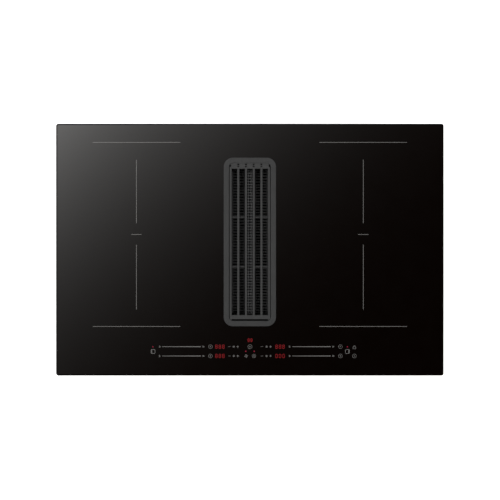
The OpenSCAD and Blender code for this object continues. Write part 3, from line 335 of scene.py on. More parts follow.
for key, values in {
    "filter_steel": ("brushed_filter_steel", "6a6c6d", "85888a"),
    "mesh_metal": ("expanded_metal", "1e1f20", "2c2d2e", (1, 1, 1), 0.5, 1.2),
    "tray_steel": ("drawn_tray_steel", "8d9092", "aaadaf", (1, 0.03, 1), 0.28),
    "plate_aluminium": ("rolled_aluminium", "b2b4b6", "cfd0d2", (0.03, 1, 1), 0.34),
    "motor_steel": ("turned_steel", "85888a", "a9acae", (1, 1, 0.05), 0.3),
    "spring_steel": ("spring_wire", "8f9193", "b7b9bb", (1, 1, 0.2), 0.25, 0.8),
}.items():
    finishes[key] = brushed(*values)
finishes["case_zinc"] = zinc_coat("zinc_coated_sheet", "999c9e", "acafb1", 5.0)
finishes["bracket_zinc"] = zinc_plate("bright_zinc_plate", "b6b9bb", "c8cacc")
print("metals and coats", sorted(finishes))

# %% [markdown]
# ## Plastics, rubber and the electric parts
# Moulded plastic copies the spark-eroded skin of its mould: very fine, even pits with a slight cloud in the
# tone where it flowed. Foam and rubber are dull, with open pores in the foam. Ferrite is sintered and
# speckled, mica sheet is made of pearly flakes, and a circuit board shows its copper through green lacquer.

# %% Moulded plastics and rubber
def moulded(name, dark, light, roughness=0.55, pits=0.45):
    """Spark-eroded skin: fine cells as pits, wide clouds in tone, a little variation in gloss."""
    made = Finish(name, light, roughness=roughness)
    made.tone(made.grain(28, 3), (0.3, dark), (0.7, light))
    made.gloss(made.grain(6, 2), roughness - 0.06, roughness + 0.06)
    made.relief(made.cells(pits), 0.03, 0.5)
    return made


for key, values in {
    "duct_black": ("duct_plastic", "1b1c1e", "232426"),
    "chamber_black": ("blower_plastic", "25272a", "2e3033", 0.5),
    "fan_black": ("fan_plastic", "161719", "1f2022", 0.42),
    "impeller_grey": ("impeller_plastic", "33363a", "3d4044", 0.4),
    "spigot_grey": ("spigot_plastic", "55585a", "606365", 0.52),
    "cup_grey": ("cup_plastic", "a9abac", "bcbebf", 0.3, 0.8),
    "former_cream": ("former_plastic", "cbc4ae", "dbd4be", 0.5),
    "tray_black": ("tray_plastic", "26272a", "303134"),
}.items():
    finishes[key] = moulded(*values)

foam = Finish("closed_cell_foam", "2a2a2a", roughness=0.9)
foam.tone(foam.cells(0.8), (0.0, "1c1c1c"), (0.6, "333333")).relief(foam.cells(0.8), 0.25, 0.8)
finishes["foam"] = foam
rubber = Finish("silicone_rubber", "202020", roughness=0.7)
rubber.tone(rubber.grain(3, 3), (0.3, "1a1a1a"), (0.7, "272727")).relief(rubber.grain(0.4, 2), 0.03)
finishes["rubber"] = rubber
print("plastics and rubber")

# %% Mica, ferrite and windings
mica = Finish("mica_sheet", "e6e1d4", roughness=0.5)
mica.tone(mica.cells(2.2), (0.05, "efeade"), (0.5, "cfc8b6"))
mica.relief(mica.grain(1.5, 4), 0.08, 0.5)
finishes["mica"] = mica

ferrite = Finish("sintered_ferrite", "3a3a3c", roughness=0.65)
ferrite.tone(ferrite.cells(0.7), (0.0, "454547"), (0.5, "303032")).relief(ferrite.cells(0.7), 0.05)
finishes["ferrite"] = ferrite

litz = Finish("enamelled_litz_wire", "b8652a", roughness=0.35, metallic=0.75)
strand = litz.waves(0.9, "DIAGONAL")
litz.tone(strand, (0.1, "8a4519"), (0.8, "c97a3c")).relief(strand, 0.12, 0.7)
finishes["litz"] = litz

windings = Finish("motor_windings", "7a4a2c", roughness=0.35, metallic=0.6)
wire = windings.waves(0.8, "Z")
windings.tone(wire, (0.1, "5e3218"), (0.8, "a8683a")).relief(wire, 0.15, 0.8)
finishes["windings"] = windings
print("finishes of the coils and the motor")

# %% Boards and the small parts on them
board = Finish("green_circuit_board", "1f6b3a", roughness=0.35)
tracks = board.node("ShaderNodeTexBrick", {0: board.stretched()}, Scale=160.0, Mortar_Size=0.06,
                    Color1=(0, 0, 0, 1), Color2=(0.25, 0.25, 0.25, 1), Mortar=(1, 1, 1, 1)).outputs["Color"]
board.tone(tracks, (0.1, "1a5c32"), (0.9, "2c8049")).relief(tracks, 0.03, 0.4)
finishes["board"] = board

parts = Finish("component_sleeves", "2a2e38", roughness=0.4)
patch = parts.node("ShaderNodeSeparateColor", {0: parts.cells(26, output="Color")}).outputs[0]
parts.tone(patch, (0.0, "1c1e22"), (0.35, "27395c"), (0.7, "17181a"), (1.0, "5a4b26"))
parts.relief(parts.grain(0.8, 2), 0.03, 0.3)
finishes["parts"] = parts

gold = Finish("touch_spring_wire", "c8a35a", roughness=0.25, metallic=1.0)
gold.tone(gold.grain(2, 2), (0.3, "b48f48"), (0.7, "d8b56c")).relief(gold.waves(0.6, "Z"), 0.08, 0.6)
finishes["gold"] = gold

dark_red = Finish("digit_module", "3a1414", roughness=0.3)
dark_red.tone(dark_red.grain(4, 2), (0.3, "2c0e0e"), (0.7, "451818")).relief(dark_red.grain(0.5, 1), 0.02)
finishes["digit_module"] = dark_red

ceramic = Finish("sensor_sleeve", "e8e6df", roughness=0.45)
ceramic.tone(ceramic.grain(2, 3), (0.3, "dedbd2"), (0.7, "f0eee8")).relief(ceramic.grain(0.5, 2), 0.02)
finishes["ceramic"] = ceramic
print("electric finishes,", len(finishes), "finishes in all")

# %% [markdown]
# ## Every CAD node gets its finish
# A node keeps its mesh and its place. Only the material in its slots changes, so one table says it all. Nodes
# that a finer piece stands for later are in the table too, so none of them is ever left with a plain colour.

# %% Table of nodes and finishes
table = {
    "glass": ["glass_top"], "rim": ["intake_rim"], "grille": ["intake_grille"],
    "rubber": ["grille_pads", "cup_seal"],
    "filter_steel": ["filter_frame"], "perforated": ["filter_ridge"], "slope": ["filter_panels"],
    "mesh_metal": ["filter_mesh"], "tray_steel": ["grease_tray"], "foam": ["worktop_seal", "shaft_gasket"],
    "duct_black": ["air_shaft", "sump_housing", "terminal_box", "terminal_lid"], "cup_grey": ["oil_cup"],
    "case_zinc": ["case"], "bracket_zinc": ["clamp_brackets", "clamp_left_front", "clamp_left_rear",
                                            "clamp_right_front", "clamp_right_rear", "fixing_screws"],
    "mica": ["coil_insulation"], "litz": ["coil_left_front", "coil_left_rear", "coil_right_front",
                                          "coil_right_rear"],
    "former_cream": ["coil_formers", "plate_posts", "terminal_block"], "ferrite": ["ferrites"],
    "plate_aluminium": ["coil_plate_left", "coil_plate_right", "heatsinks"], "spring_steel": ["plate_springs"],
    "ceramic": ["zone_sensors"], "tray_black": ["board_trays", "control_tray"],
    "board": ["power_boards", "mains_board", "touch_board"], "parts": ["board_components"],
    "fan_black": ["fan_frame_left", "fan_frame_right", "fan_rotor_left", "fan_rotor_right", "cable_gland"],
    "digit_module": ["display_modules"], "gold": ["touch_pads"], "chamber_black": ["blower_chamber", "blower_deck",
                                                                                 "blower_tub"],
    "impeller_grey": ["impeller"], "motor_steel": ["motor_rotor", "motor_bearings"],
    "windings": ["motor_stator"], "spigot_grey": ["outlet_spigot", "backdraft_flap"],
}
for finish_name, names in table.items():
    for name in names:
        slots = nodes[name].data.materials
        slots.clear()
        slots.append(finishes[finish_name].material)
covered = {name for names in table.values() for name in names}
print("nodes without a finish:", sorted(set(nodes) - covered))

# %% [markdown]
# ## Outlines, loops and bands
# Most new pieces here are a profile carried round a rounded rectangle: the glass, the rim, seals and trays. One
# helper gives the outline, always with the same number of points, so two outlines of different size can be
# joined point to point. Another joins a stack of such loops with quads into one closed skin.

# %% Outlines
def rounded(width, depth, radius, z, centre=(0.0, 0.0), corner=10):
    """Loop of a rounded rectangle in millimetres: corner centre plus radius times (cos a, sin a), where a runs
    through a quarter turn in each of the four corners."""
    a = (np.arange(4)[:, None] * np.pi / 2 + np.linspace(0, np.pi / 2, corner)).ravel()
    side_x = np.repeat([1, -1, -1, 1], corner) * (width / 2 - radius)
    side_y = np.repeat([1, 1, -1, -1], corner) * (depth / 2 - radius)
    x = centre[0] + side_x + radius * np.cos(a)
    y = centre[1] + side_y + radius * np.sin(a)
    return np.stack([x, y, np.full(len(a), z)], 1) * MM


def grown(size, grow, z, centre=(0.0, 0.0), corner=10):
    """Loop of a (width, depth, radius) in millimetres, with grow added on every side and to the radius."""
    width, depth, radius = size
    return rounded(width + 2 * grow, depth + 2 * grow, radius + grow, z, centre, corner)


def circle(radius, z, centre=(0.0, 0.0), count=48):
    """Loop of a circle in millimetres."""
    a = np.linspace(0, 2 * np.pi, count, endpoint=False)
    return np.stack([centre[0] + radius * np.cos(a), centre[1] + radius * np.sin(a), np.full(count, z)], 1) * MM


print("one outline has", len(rounded(10, 10, 2, 0)), "points and a circle", len(circle(1, 0)))

# %% Faces, joined parts and flat ends
def grid_faces(rows, cols, wrap_rows, wrap_cols):
    """Quads of a rows by cols grid of points; wrap joins the last row or column to the first."""
    i = np.arange(rows if wrap_rows else rows - 1)[:, None]
    j = np.arange(cols if wrap_cols else cols - 1)[None, :]
    down, right = (i + 1) % rows, (j + 1) % cols
    return np.stack([i * cols + j, i * cols + right, down * cols + right, down * cols + j], -1).reshape(-1, 4)


def join(parts):
    """All (points, faces) of a list as one set of points and faces."""
    starts = np.cumsum([0] + [len(points) for points, _ in parts[:-1]])
    return (np.concatenate([points for points, _ in parts]),
            np.concatenate([faces + start for (_, faces), start in zip(parts, starts)]))


def ends_of(counts, around):
    """Flat ends for tubes that lie one after the other: for each tube's number of points, its first and its last
    ring of around points. around is one number, or one for each tube."""
    around = np.broadcast_to(around, len(counts)).tolist()
    starts = np.cumsum([0, *counts]).tolist()
    return [[*range(a, a + n)] for first, last, n in zip(starts, starts[1:], around) for a in (first, last - n)]


print("a grid of 3 by 4 points has", len(grid_faces(3, 4, False, True)), "faces when it is closed into a tube")

# %% Putting a piece into the scene
def put(name, points, faces, finish, body, slot, sharp=35.0, extra_faces=()):
    """Puts points and faces into a mesh, merges doubles, turns its faces outward and hangs it on its body."""
    mesh = bpy.data.meshes.new(name)
    mesh.from_pydata(np.asarray(points, float).tolist(), [], [*np.asarray(faces).tolist(), *extra_faces])
    work = bmesh.new()
    work.from_mesh(mesh)
    bmesh.ops.remove_doubles(work, verts=work.verts, dist=2e-7)
    bmesh.ops.recalc_face_normals(work, faces=work.faces)
    work.to_mesh(mesh)
    work.free()
    mesh.polygons.foreach_set("use_smooth", np.ones(len(mesh.polygons), bool))
    mesh.set_sharp_from_angle(angle=math.radians(sharp))
    mesh.materials.append(finishes[finish].material)
    piece = shown(name, mesh)
    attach(piece, body)
    print(name, len(mesh.vertices), "points", len(mesh.polygons), "faces")
    return piece


def skin(name, loops, finish, body, slot, closed=True, sharp=35.0):
    """Joins loops with the same number of points; closed runs from the last loop back to the first, as in a
    ring, and otherwise the first and last loops get a flat cap."""
    loops = np.stack(loops)
    count = loops.shape[1]
    caps = () if closed else ends_of([len(loops) * count], count)
    return put(name, loops.reshape(-1, 3), grid_faces(len(loops), count, closed, True), finish, body, slot,
               sharp, caps)


print("finishes that put can hang on a piece:", len(finishes))

# %% [markdown]
# ## The glass plate
# The real plate is four millimetres of ceramic glass with a ground bevel all round and a polished edge at the
# cut-out. Its skin is one profile: up the outer edge, over the bevel, across the top to the cut-out, down and
# back underneath. Each corner of the profile gets a small arris, since a sharp glass edge is always taken off.

# %% Glass plate with bevel and arrises
glass_low, glass_high = box_mm("glass_top")
GLASS = (*(glass_high - glass_low)[:2], 5.0)
GLASS_Z, TOP = glass_low[2], glass_high[2]
INTAKE_Y = 16.0
CUTOUT = (92.0, 330.0, 11.0)


def cutout_loop(grow, z):
    """The outline of the cut-out, with grow added on every side."""
    return grown(CUTOUT, grow, z, (0, INTAKE_Y))


glass_plate = skin("glass_plate", [
    grown(GLASS, -0.3, GLASS_Z), grown(GLASS, 0, GLASS_Z + 0.3), grown(GLASS, 0, TOP - 1.35),
    grown(GLASS, -0.12, TOP - 1.15), grown(GLASS, -2.35, TOP - 0.06), grown(GLASS, -2.6, TOP),
    cutout_loop(0.4, TOP), cutout_loop(0.0, TOP - 0.4), cutout_loop(0.0, GLASS_Z + 0.4), cutout_loop(0.4, GLASS_Z),
], "glass", "hob", "glass_black", sharp=9)
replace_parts(glass_plate, "glass_top")

# %% [markdown]
# ## The rim of the intake
# The rim is a casting: a flat land with softly rounded edges, and a collar that drops through the glass, with
# one ledge for the grille and a deeper one for the filter. The same profile trick draws it in one skin. The
# edge radius matters most, since a soft edge catches a thin line of light that a knife edge never shows.

# %% Rim, collar and ledges
LAND, OPENING, THROAT = (108.0, 348.0, 19.0), (86.0, 326.0, 8.0), (80.0, 307.2, 4.0)
FILTER_THROAT, COLLAR = (76.0, 303.2, 1.5), (90.0, 328.0, 10.0)
GRILLE_LEDGE, FILTER_LEDGE, COLLAR_FOOT = 0.2, -4.0, -12.0


def rim_loop(size, grow, z):
    """One of the rim's outlines, with grow added on every side."""
    return grown(size, grow, z, (0, INTAKE_Y), corner=14)


RIM_TOP = box_mm("intake_rim")[1][2]
rim_ring = skin("rim_ring", [
    rim_loop(LAND, -0.3, TOP), rim_loop(LAND, 0, TOP + 0.3), rim_loop(LAND, 0, RIM_TOP - 0.7),
    rim_loop(LAND, -0.1, RIM_TOP - 0.35), rim_loop(LAND, -0.35, RIM_TOP - 0.08), rim_loop(LAND, -0.6, RIM_TOP),
    rim_loop(LAND, -0.9, RIM_TOP), rim_loop(OPENING, 0.65, RIM_TOP), rim_loop(OPENING, 0.4, RIM_TOP),
    rim_loop(OPENING, 0.12, RIM_TOP - 0.15), rim_loop(OPENING, 0, RIM_TOP - 0.5),
    rim_loop(OPENING, 0, RIM_TOP - 1.1), rim_loop(OPENING, 0, GRILLE_LEDGE),
    rim_loop(THROAT, 0.3, GRILLE_LEDGE), rim_loop(THROAT, 0, GRILLE_LEDGE - 0.3),
    rim_loop(THROAT, 0, FILTER_LEDGE), rim_loop(FILTER_THROAT, 0, FILTER_LEDGE),
    rim_loop(FILTER_THROAT, 0, COLLAR_FOOT), rim_loop(COLLAR, 0, COLLAR_FOOT), rim_loop(COLLAR, 0, TOP),
], "rim", "hob", "rim_anthracite", sharp=32)
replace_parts(rim_ring, "intake_rim")

# %% [markdown]
# ## The lift-out grille
# The grille is cast in one piece: a flat frame, four long bars and two thin cross bars lower down. Its solid has
# the right shape already, and only its edges are too sharp. A copy of its mesh is merged, its flat areas are
# joined, and a bevel modifier rounds every edge by a third of a millimetre. That keeps the CAD sizes exactly.

# %% Softened copy of a CAD node
def softened(node, name, width, finish, body, slot):
    """A merged copy of a node's mesh with a small bevel on all edges over 30 degrees."""
    mesh = nodes[node].data.copy()
    mesh.name = name
    work = bmesh.new()
    work.from_mesh(mesh)
    bmesh.ops.remove_doubles(work, verts=work.verts, dist=2e-6)
    bmesh.ops.dissolve_limit(work, angle_limit=math.radians(1), verts=work.verts, edges=work.edges)
    work.to_mesh(mesh)
    work.free()
    mesh.materials.clear()
    mesh.materials.append(finishes[finish].material)
    mesh.polygons.foreach_set("use_smooth", np.ones(len(mesh.polygons), bool))
    piece = shown(name, mesh)
    bevel = piece.modifiers.new("edge", "BEVEL")
    bevel.width = width * MM
    bevel.segments = 2
    bevel.limit_method = "ANGLE"
    bevel.angle_limit = math.radians(30)
    level = piece.modifiers.new("level", "WEIGHTED_NORMAL")
    level.weight = 80
    level.keep_sharp = True
    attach(piece, body)
    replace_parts(piece, node)
    print(name, len(mesh.polygons), "faces before the bevel")


softened("intake_grille", "lift_out_grille", 0.3, "grille", "grille", "grille_anthracite")

# %% [markdown]
# ## Moulded, drawn and stamped parts
# Nothing that comes out of a mould or a press has a knife edge: steel tools are rounded so that the plastic
# flows, and sheet draws in over a radius. So the big housings, the tray and the brackets are treated
# as the grille was. Bevels are about a fifth of each part's wall, which keeps thin rims thin.

# %% Soft edges on the housings and small sheet parts
soft_parts = [
    ("sump_housing", "moulded_sump", 0.6, "duct_black", "hob", "duct_black"),
    ("blower_tub", "moulded_blower_tub", 0.6, "chamber_black", "hob", "duct_black"),
    ("blower_chamber", "moulded_air_chamber", 0.5, "chamber_black", "hob", "duct_black"),
    ("outlet_spigot", "moulded_outlet", 0.5, "spigot_grey", "hob", "spigot_grey"),
    ("backdraft_flap", "moulded_flap", 0.4, "spigot_grey", "flap", "spigot_grey"),
    ("terminal_box", "moulded_connection_box", 0.5, "duct_black", "hob", "duct_black"),
    ("terminal_lid", "moulded_connection_lid", 0.5, "duct_black", "connection_lid", "duct_black"),
    ("cable_gland", "screwed_cable_gland", 0.4, "fan_black", "hob", "fan_black"),
    ("grease_tray", "drawn_grease_tray", 0.25, "tray_steel", "tray", "tray_steel"),
    ("filter_frame", "pressed_filter_frame", 0.25, "filter_black", "filter", "filter_steel"),
    ("clamp_brackets", "stamped_clamp_brackets", 0.4, "bracket_zinc", "hob", "case_steel"),
    ("case", "folded_case", 0.35, "case_zinc", "hob", "case_steel"),
    ("air_shaft", "moulded_air_shaft", 0.4, "duct_black", "hob", "duct_black"),
    ("fan_frame_left", "moulded_left_fan_frame", 0.3, "fan_black", "hob", "fan_black"),
    ("fan_frame_right", "moulded_right_fan_frame", 0.3, "fan_black", "hob", "fan_black"),
]
for part in soft_parts:
    softened(*part)

# %% [markdown]
# ## The perforated filter
# Under the grille lies a cassette: a raised ridge in the middle with three columns of round holes, and a slope
# on each side with long slots. Punching leaves a small rolled lip. Each hole is one cell: a ring of quads from a
# square edge to the hole's outline, with the last ring dipped. Cells share their edge points, so the merged
# sheet is one surface. Below lies a pad of expanded metal, drawn as rows of slanted strands.

# %% Cells of a punched sheet
ROWS, ROW_PITCH = 51, 5.8


def punched_sheet(columns, hole, across):
    """Rows of cells of a sheet. columns lists (start, end, has_hole) along the profile, in millimetres; across
    turns profile distance and dip into x and z. Each cell has 12 edge points, and rings of 12 at lip and hole.
    A number for hole makes a round one, and (long, wide) a slot, by sign(c) * |c| ** 0.45 on the circle c."""
    third = np.array([0, 1, 2]) / 3
    edge = np.concatenate([np.stack([third, 0 * third], 1), np.stack([1 + 0 * third, third], 1),
                           np.stack([1 - third, 1 + 0 * third], 1), np.stack([0 * third, 1 - third], 1)]) - 0.5
    middle = (np.arange(ROWS) - (ROWS - 1) / 2) * ROW_PITCH
    parts = []
    for start, end, has_hole in columns:
        square = edge * (end - start, ROW_PITCH)
        if has_hole:
            circle = edge / np.hypot(*edge.T)[:, None]
            ring = np.sign(circle) * abs(circle) ** (1.0 if np.isscalar(hole) else 0.45)
            half = np.array([hole, hole] if np.isscalar(hole) else hole) / 2
            cell = np.stack([square, ring * (half + 0.4), ring * (half + 0.1), ring * half])
            dip = np.repeat([0.0, 0.0, 0.12, 0.4], 12)
            quads = grid_faces(4, 12, False, True)
        else:
            side_a = np.stack([np.full(4, -0.5), np.linspace(-0.5, 0.5, 4)], 1)
            side_b = side_a * (-1, 1)
            cell = np.stack([side_a, side_b]) * (end - start, ROW_PITCH)
            dip = np.zeros(8)
            quads = grid_faces(2, 4, False, False)
        cell = cell.reshape(-1, 2)
        u = np.tile(cell[:, 0] + (start + end) / 2, ROWS)
        v = (cell[:, 1][None, :] + middle[:, None]).ravel()
        x, z = across(u, np.tile(dip, ROWS))
        faces = (quads[None] + np.arange(ROWS)[:, None, None] * len(cell)).reshape(-1, 4)
        parts.append((np.stack([x, v + INTAKE_Y, z], 1) * MM, faces))
    return join(parts)


print("rows of holes", ROWS, "over", round(ROWS * ROW_PITCH, 1), "mm")

# %% A path that the sheet follows
def along(path):
    """Turns distance along a polyline path of (x, z) and a dip into x and z; the dip is square to the path."""
    path = np.asarray(path, float)
    step = np.diff(path, axis=0)
    length = np.hypot(*step.T)
    reach = np.concatenate([[0], np.cumsum(length)])
    normal = np.stack([step[:, 1], -step[:, 0]], 1) / length[:, None]

    def across(u, dip):
        """x and z at distance u along the path, dip below it."""
        k = np.clip(np.searchsorted(reach, u, side="right") - 1, 0, len(length) - 1)
        return (np.interp(u, reach, path[:, 0]) + normal[k, 0] * dip,
                np.interp(u, reach, path[:, 1]) + normal[k, 1] * dip)

    return across, reach[-1]


print("halfway along a path from (0, 0) to (2, 2):", along([(0, 0), (2, 2)])[0](math.sqrt(2), 0))

# %% Profile of the ridge
RIDGE_PITCH, RIDGE_HOLE, BEND_R = 5.2, 4.3, 1.4
ridge_low, ridge_high = box_mm("filter_ridge")
HALF, RIDGE_TOP, RIDGE_FOOT = ridge_high[0], ridge_high[2], ridge_low[2]
turn = np.linspace(np.pi, np.pi / 2, 5)
left_corner = np.stack([BEND_R * (1 + np.cos(turn)) - HALF, RIDGE_TOP - BEND_R * (1 - np.sin(turn))], 1)
ridge_path = np.concatenate([[[-HALF, RIDGE_FOOT]], left_corner, left_corner[::-1] * (-1, 1), [[HALF, RIDGE_FOOT]]])
ridge_across, ridge_length = along(ridge_path)
wall = RIDGE_TOP - BEND_R - RIDGE_FOOT
curve = ridge_length / 2 - 1.5 * RIDGE_PITCH - wall
bend = np.linspace(wall, wall + curve, 6)
columns = [(0, wall, False)]
columns += [(a, b, False) for a, b in zip(bend[:-1], bend[1:])]
columns += [(wall + curve + RIDGE_PITCH * k, wall + curve + RIDGE_PITCH * (k + 1), True) for k in range(3)]
columns += [(a, b, False) for a, b in zip(ridge_length - bend[::-1][:-1], ridge_length - bend[::-1][1:])]
columns += [(ridge_length - wall, ridge_length, False)]
sheet_points, sheet_faces = punched_sheet(columns, RIDGE_HOLE, ridge_across)
print("ridge sheet is", round(ridge_length, 1), "mm wide before it is bent")

# %% Sheets with a wall
def put_sheet(name, points, faces, finish, thickness, node):
    """As put, for an open sheet of the filter: its faces are turned so that the sum of their normals points up,
    and a wall of the given thickness grows on their inner side."""
    piece = put(name, points, faces, finish, "filter", "filter_steel", sharp=28)
    mesh = piece.data
    normals = np.empty(len(mesh.polygons) * 3, np.float32)
    mesh.polygons.foreach_get("normal", normals)
    if normals[2::3].sum() < 0:
        mesh.flip_normals()
    wall = piece.modifiers.new("wall", "SOLIDIFY")
    wall.thickness = thickness * MM
    wall.offset = -1.0
    wall.use_even_offset = False
    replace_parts(piece, node)


put_sheet("filter_ridge_sheet", sheet_points, sheet_faces, "perforated", 0.7, "filter_ridge")

# %% Slopes on both sides of the ridge
panel_low, panel_high = box_mm("filter_panels")
slope_path = [(HALF + 1.4, panel_low[2] + 0.8), (panel_high[0], panel_high[2] - 0.3)]
slope_across, slope_length = along(slope_path)
SLOT_WIDE, SLOT_MARGIN = 3.0, 0.8
slot_cell = (2.0, slope_length - 1.2)
slot_long = slot_cell[1] - slot_cell[0] - 2 * SLOT_MARGIN
slope_columns = [(0, slot_cell[0], False), (*slot_cell, True), (slot_cell[1], slope_length, False)]
right_points, right_faces = punched_sheet(slope_columns, (slot_long, SLOT_WIDE), slope_across)
slope_points, slope_faces = join([(right_points, right_faces), (right_points * (-1, 1, 1), right_faces[:, ::-1])])
put_sheet("filter_slope_sheets", slope_points, slope_faces, "slope", 0.5, "filter_panels")

# %% Expanded metal under the slopes
STRAND, STRAND_GAP, PAD_BASE = 2.2, 0.2, 0.4
pad_low, pad_high = box_mm("filter_mesh")
strands = int((pad_high[1] - pad_low[1]) / STRAND)
strand_y = pad_low[1] + STRAND * np.repeat(np.arange(strands), 2) + np.tile([0.0, STRAND - STRAND_GAP], strands)
pad = np.empty((2 * strands, 4, 3))
pad[:, :, 0] = pad_low[0], pad_high[0], pad_high[0], pad_low[0]
pad[:, :, 1] = strand_y[:, None]
pad[:, :2, 2] = np.tile([pad_low[2] + PAD_BASE, pad_high[2]], strands)[:, None]
pad[:, 2:, 2] = pad_low[2]
metal = put("expanded_metal_pad", pad.reshape(-1, 3) * MM, grid_faces(2 * strands, 4, False, True), "mesh_metal",
            "filter", "filter_mesh", 10, ends_of([8 * strands], 4))
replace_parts(metal, "filter_mesh")

# %% [markdown]
# ## Seals, feet and the insulation
# Soft parts are pressed out of sheet or moulded, and their edges are round. The foam under the glass bulges a
# little, so its profile is a flattened ring of points. The four feet under the grille are small domes. The
# mica blanket over the coils is thin, with a soft edge and a round opening over each sensor.

# %% Foam tapes and rubber ring
def tape(name, node, radius, wide, centre=(0, 0)):
    """A tape round a rounded rectangle, as high as its node's box and wide across. Both sides bulge: their outline
    is drawn in by 0.6 mm at most, times half at top and bottom and 0.15 next to them."""
    low, high = box_mm(node)
    width, depth, tall = high - low
    rise = np.array([0.0, 0.12, 0.35, 0.65, 0.88, 1.0])
    bulge = np.array([0.5, 0.15, 0.0, 0.0, 0.15, 0.5]) * min(0.6, tall / 2)
    hole = (width - 2 * wide, depth - 2 * wide, max(radius - wide, 0.8))
    outer = [grown((width, depth, radius), -b, low[2] + tall * r, centre) for r, b in zip(rise, bulge)]
    inner = [grown(hole, b, low[2] + tall * r, centre) for r, b in zip(rise[::-1], bulge)]
    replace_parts(skin(name, outer + inner, "foam", "hob", "foam_rubber", sharp=60), node)


tape("foam_tape", "worktop_seal", 6, 10)
tape("shaft_tape", "shaft_gasket", 20, 9.5, (0, INTAKE_Y))

ring_low, ring_high = box_mm("cup_seal")
HOLE_R = 14.3
ring_r = (ring_high[0] - ring_low[0]) / 2
ring_y, ring_z = (ring_low + ring_high)[1:] / 2
half_wide, half_tall = (ring_r - HOLE_R) / 2, (ring_high[2] - ring_low[2]) / 2
turn = np.linspace(0, 2 * np.pi, 14, endpoint=False)
oval_x, oval_z = (np.sign(f) * abs(f) ** 0.6 for f in (np.cos(turn), np.sin(turn)))
ring_loops = [circle(ring_r - half_wide + half_wide * u, ring_z + half_tall * v, (0, ring_y))
              for u, v in zip(oval_x, oval_z)]
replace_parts(skin("cup_ring", ring_loops, "rubber", "cup", "foam_rubber", sharp=60), "cup_seal")

# %% Overflow cup with its grip ribs
cup_low, cup_high = box_mm("oil_cup")
CUP_R, CUP_WALL, RIB = 34.0, 2.0, 1.5
cup_at = (0.0, (cup_low[1] + cup_high[1]) / 2)
C0, C1 = cup_low[2], cup_high[2]


def cup_loop(radius, z, ribs=0.0):
    """Circle whose radius grows by ribs within 1.5 mm of each eighth of a turn, over a ramp of 0.5 mm."""
    a = np.linspace(0, 2 * np.pi, 320, endpoint=False)
    side = abs((a / (np.pi / 4) + 0.5) % 1.0 - 0.5) * (np.pi / 4) * CUP_R
    r = radius + ribs * np.clip((1.75 - side) / 0.5, 0, 1)
    return np.stack([cup_at[0] + r * np.cos(a), cup_at[1] + r * np.sin(a), np.full(len(a), z)], 1) * MM


cup = skin("turned_overflow_cup", [
    cup_loop(0.1, C0), cup_loop(CUP_R - 2.6, C0), cup_loop(CUP_R - 1.0, C0 + 0.35), cup_loop(CUP_R - 0.2, C0 + 1.2),
    cup_loop(CUP_R, C0 + 2.0), cup_loop(CUP_R, C0 + 2.4, RIB * 0.6), cup_loop(CUP_R, C0 + 3.2, RIB),
    cup_loop(CUP_R, C1 - 0.9, RIB), cup_loop(CUP_R, C1 - 0.5, RIB * 0.7), cup_loop(CUP_R - 0.1, C1 - 0.4),
    cup_loop(CUP_R - 0.5, C1), cup_loop(HOLE_R + 0.4, C1), cup_loop(HOLE_R, C1 - 0.4),
    cup_loop(HOLE_R, C1 - CUP_WALL),
    cup_loop(CUP_R - CUP_WALL, C1 - CUP_WALL), cup_loop(CUP_R - CUP_WALL, C0 + CUP_WALL + 1),
    cup_loop(CUP_R - CUP_WALL - 1, C0 + CUP_WALL), cup_loop(0.1, C0 + CUP_WALL),
], "cup_grey", "cup", "cup_plastic", closed=False, sharp=40)
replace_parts(cup, "oil_cup")

# %% Feet under the grille
foot_low, foot_high = box_mm("grille_pads")
FOOT_R = 2.4
foot_x, foot_y = foot_high[0] - FOOT_R, foot_high[1] - FOOT_R - INTAKE_Y
dome = np.array([0.05, 0.4, 0.7, 0.9, 0.999])
dome_z = foot_low[2] + (foot_high[2] - foot_low[2]) * 0.4 * (1 - np.sqrt(1 - dome ** 2))
foot_rings = [*zip(FOOT_R * dome, dome_z), (FOOT_R, foot_high[2]), (0.12, foot_high[2])]
feet = [(np.concatenate([circle(r, z, (x, INTAKE_Y + y), 24) for r, z in foot_rings]),
         grid_faces(len(foot_rings), 24, True, True)) for x in (-foot_x, foot_x) for y in (-foot_y, foot_y)]
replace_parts(put("grille_feet", *join(feet), "rubber", "grille", "foam_rubber"), "grille_pads")

# %% [markdown]
# ## Screws and clamps
# A pan-head screw is turned and then stamped: the head is a low dome with a cross pressed into it. The clamp is
# a long threaded rod with a round pad on top, a hexagon and a wing below. Its thread is a helix: at each height
# and angle the radius follows a triangle wave of height over pitch minus angle over a full turn.

# %% One pan-head screw
HEAD_R, HEAD_T, SHANK_R = 3.5, 2.2, 1.4


def pan_head_screw(length):
    """Grid of rings by angle for a screw that points up, head below zero. The dome falls as 0.9 * (r / R)^3, and
    the cross is a dip of 1.1 mm where the nearer of the two side distances is under 0.32 mm; it fades out up to
    0.62 mm to the side and between 1.7 and 2.2 mm from the middle."""
    angle = np.linspace(0, 2 * np.pi, 48, endpoint=False)
    radius = np.array([0.05, 0.35, 0.6, 0.9, 1.3, 1.7, 2.1, 2.5, 2.9, 3.25, 3.42, 3.5])[:, None]
    x, y = radius * np.cos(angle), radius * np.sin(angle)
    narrow = np.minimum(abs(x), abs(y))
    dip = 1.1 * np.clip((0.62 - narrow) / 0.3, 0, 1) * np.clip((2.2 - radius) / 0.5, 0, 1)
    face = -HEAD_T + 0.9 * (radius / HEAD_R) ** 3 + dip
    head = np.stack([x, y, face], -1)
    rest = [circle(r, z, count=48) / MM for r, z in ((HEAD_R, -0.15), (HEAD_R - 0.15, 0.0), (SHANK_R, 0.0),
                                                     (SHANK_R, length - 0.6), (SHANK_R - 0.5, length),
                                                     (0.05, length))]
    return np.concatenate([head, np.stack(rest)])


screw_rows, screw_cols = pan_head_screw(1.0).shape[:2]
print("a screw has", screw_rows, "rings of", screw_cols, "points")

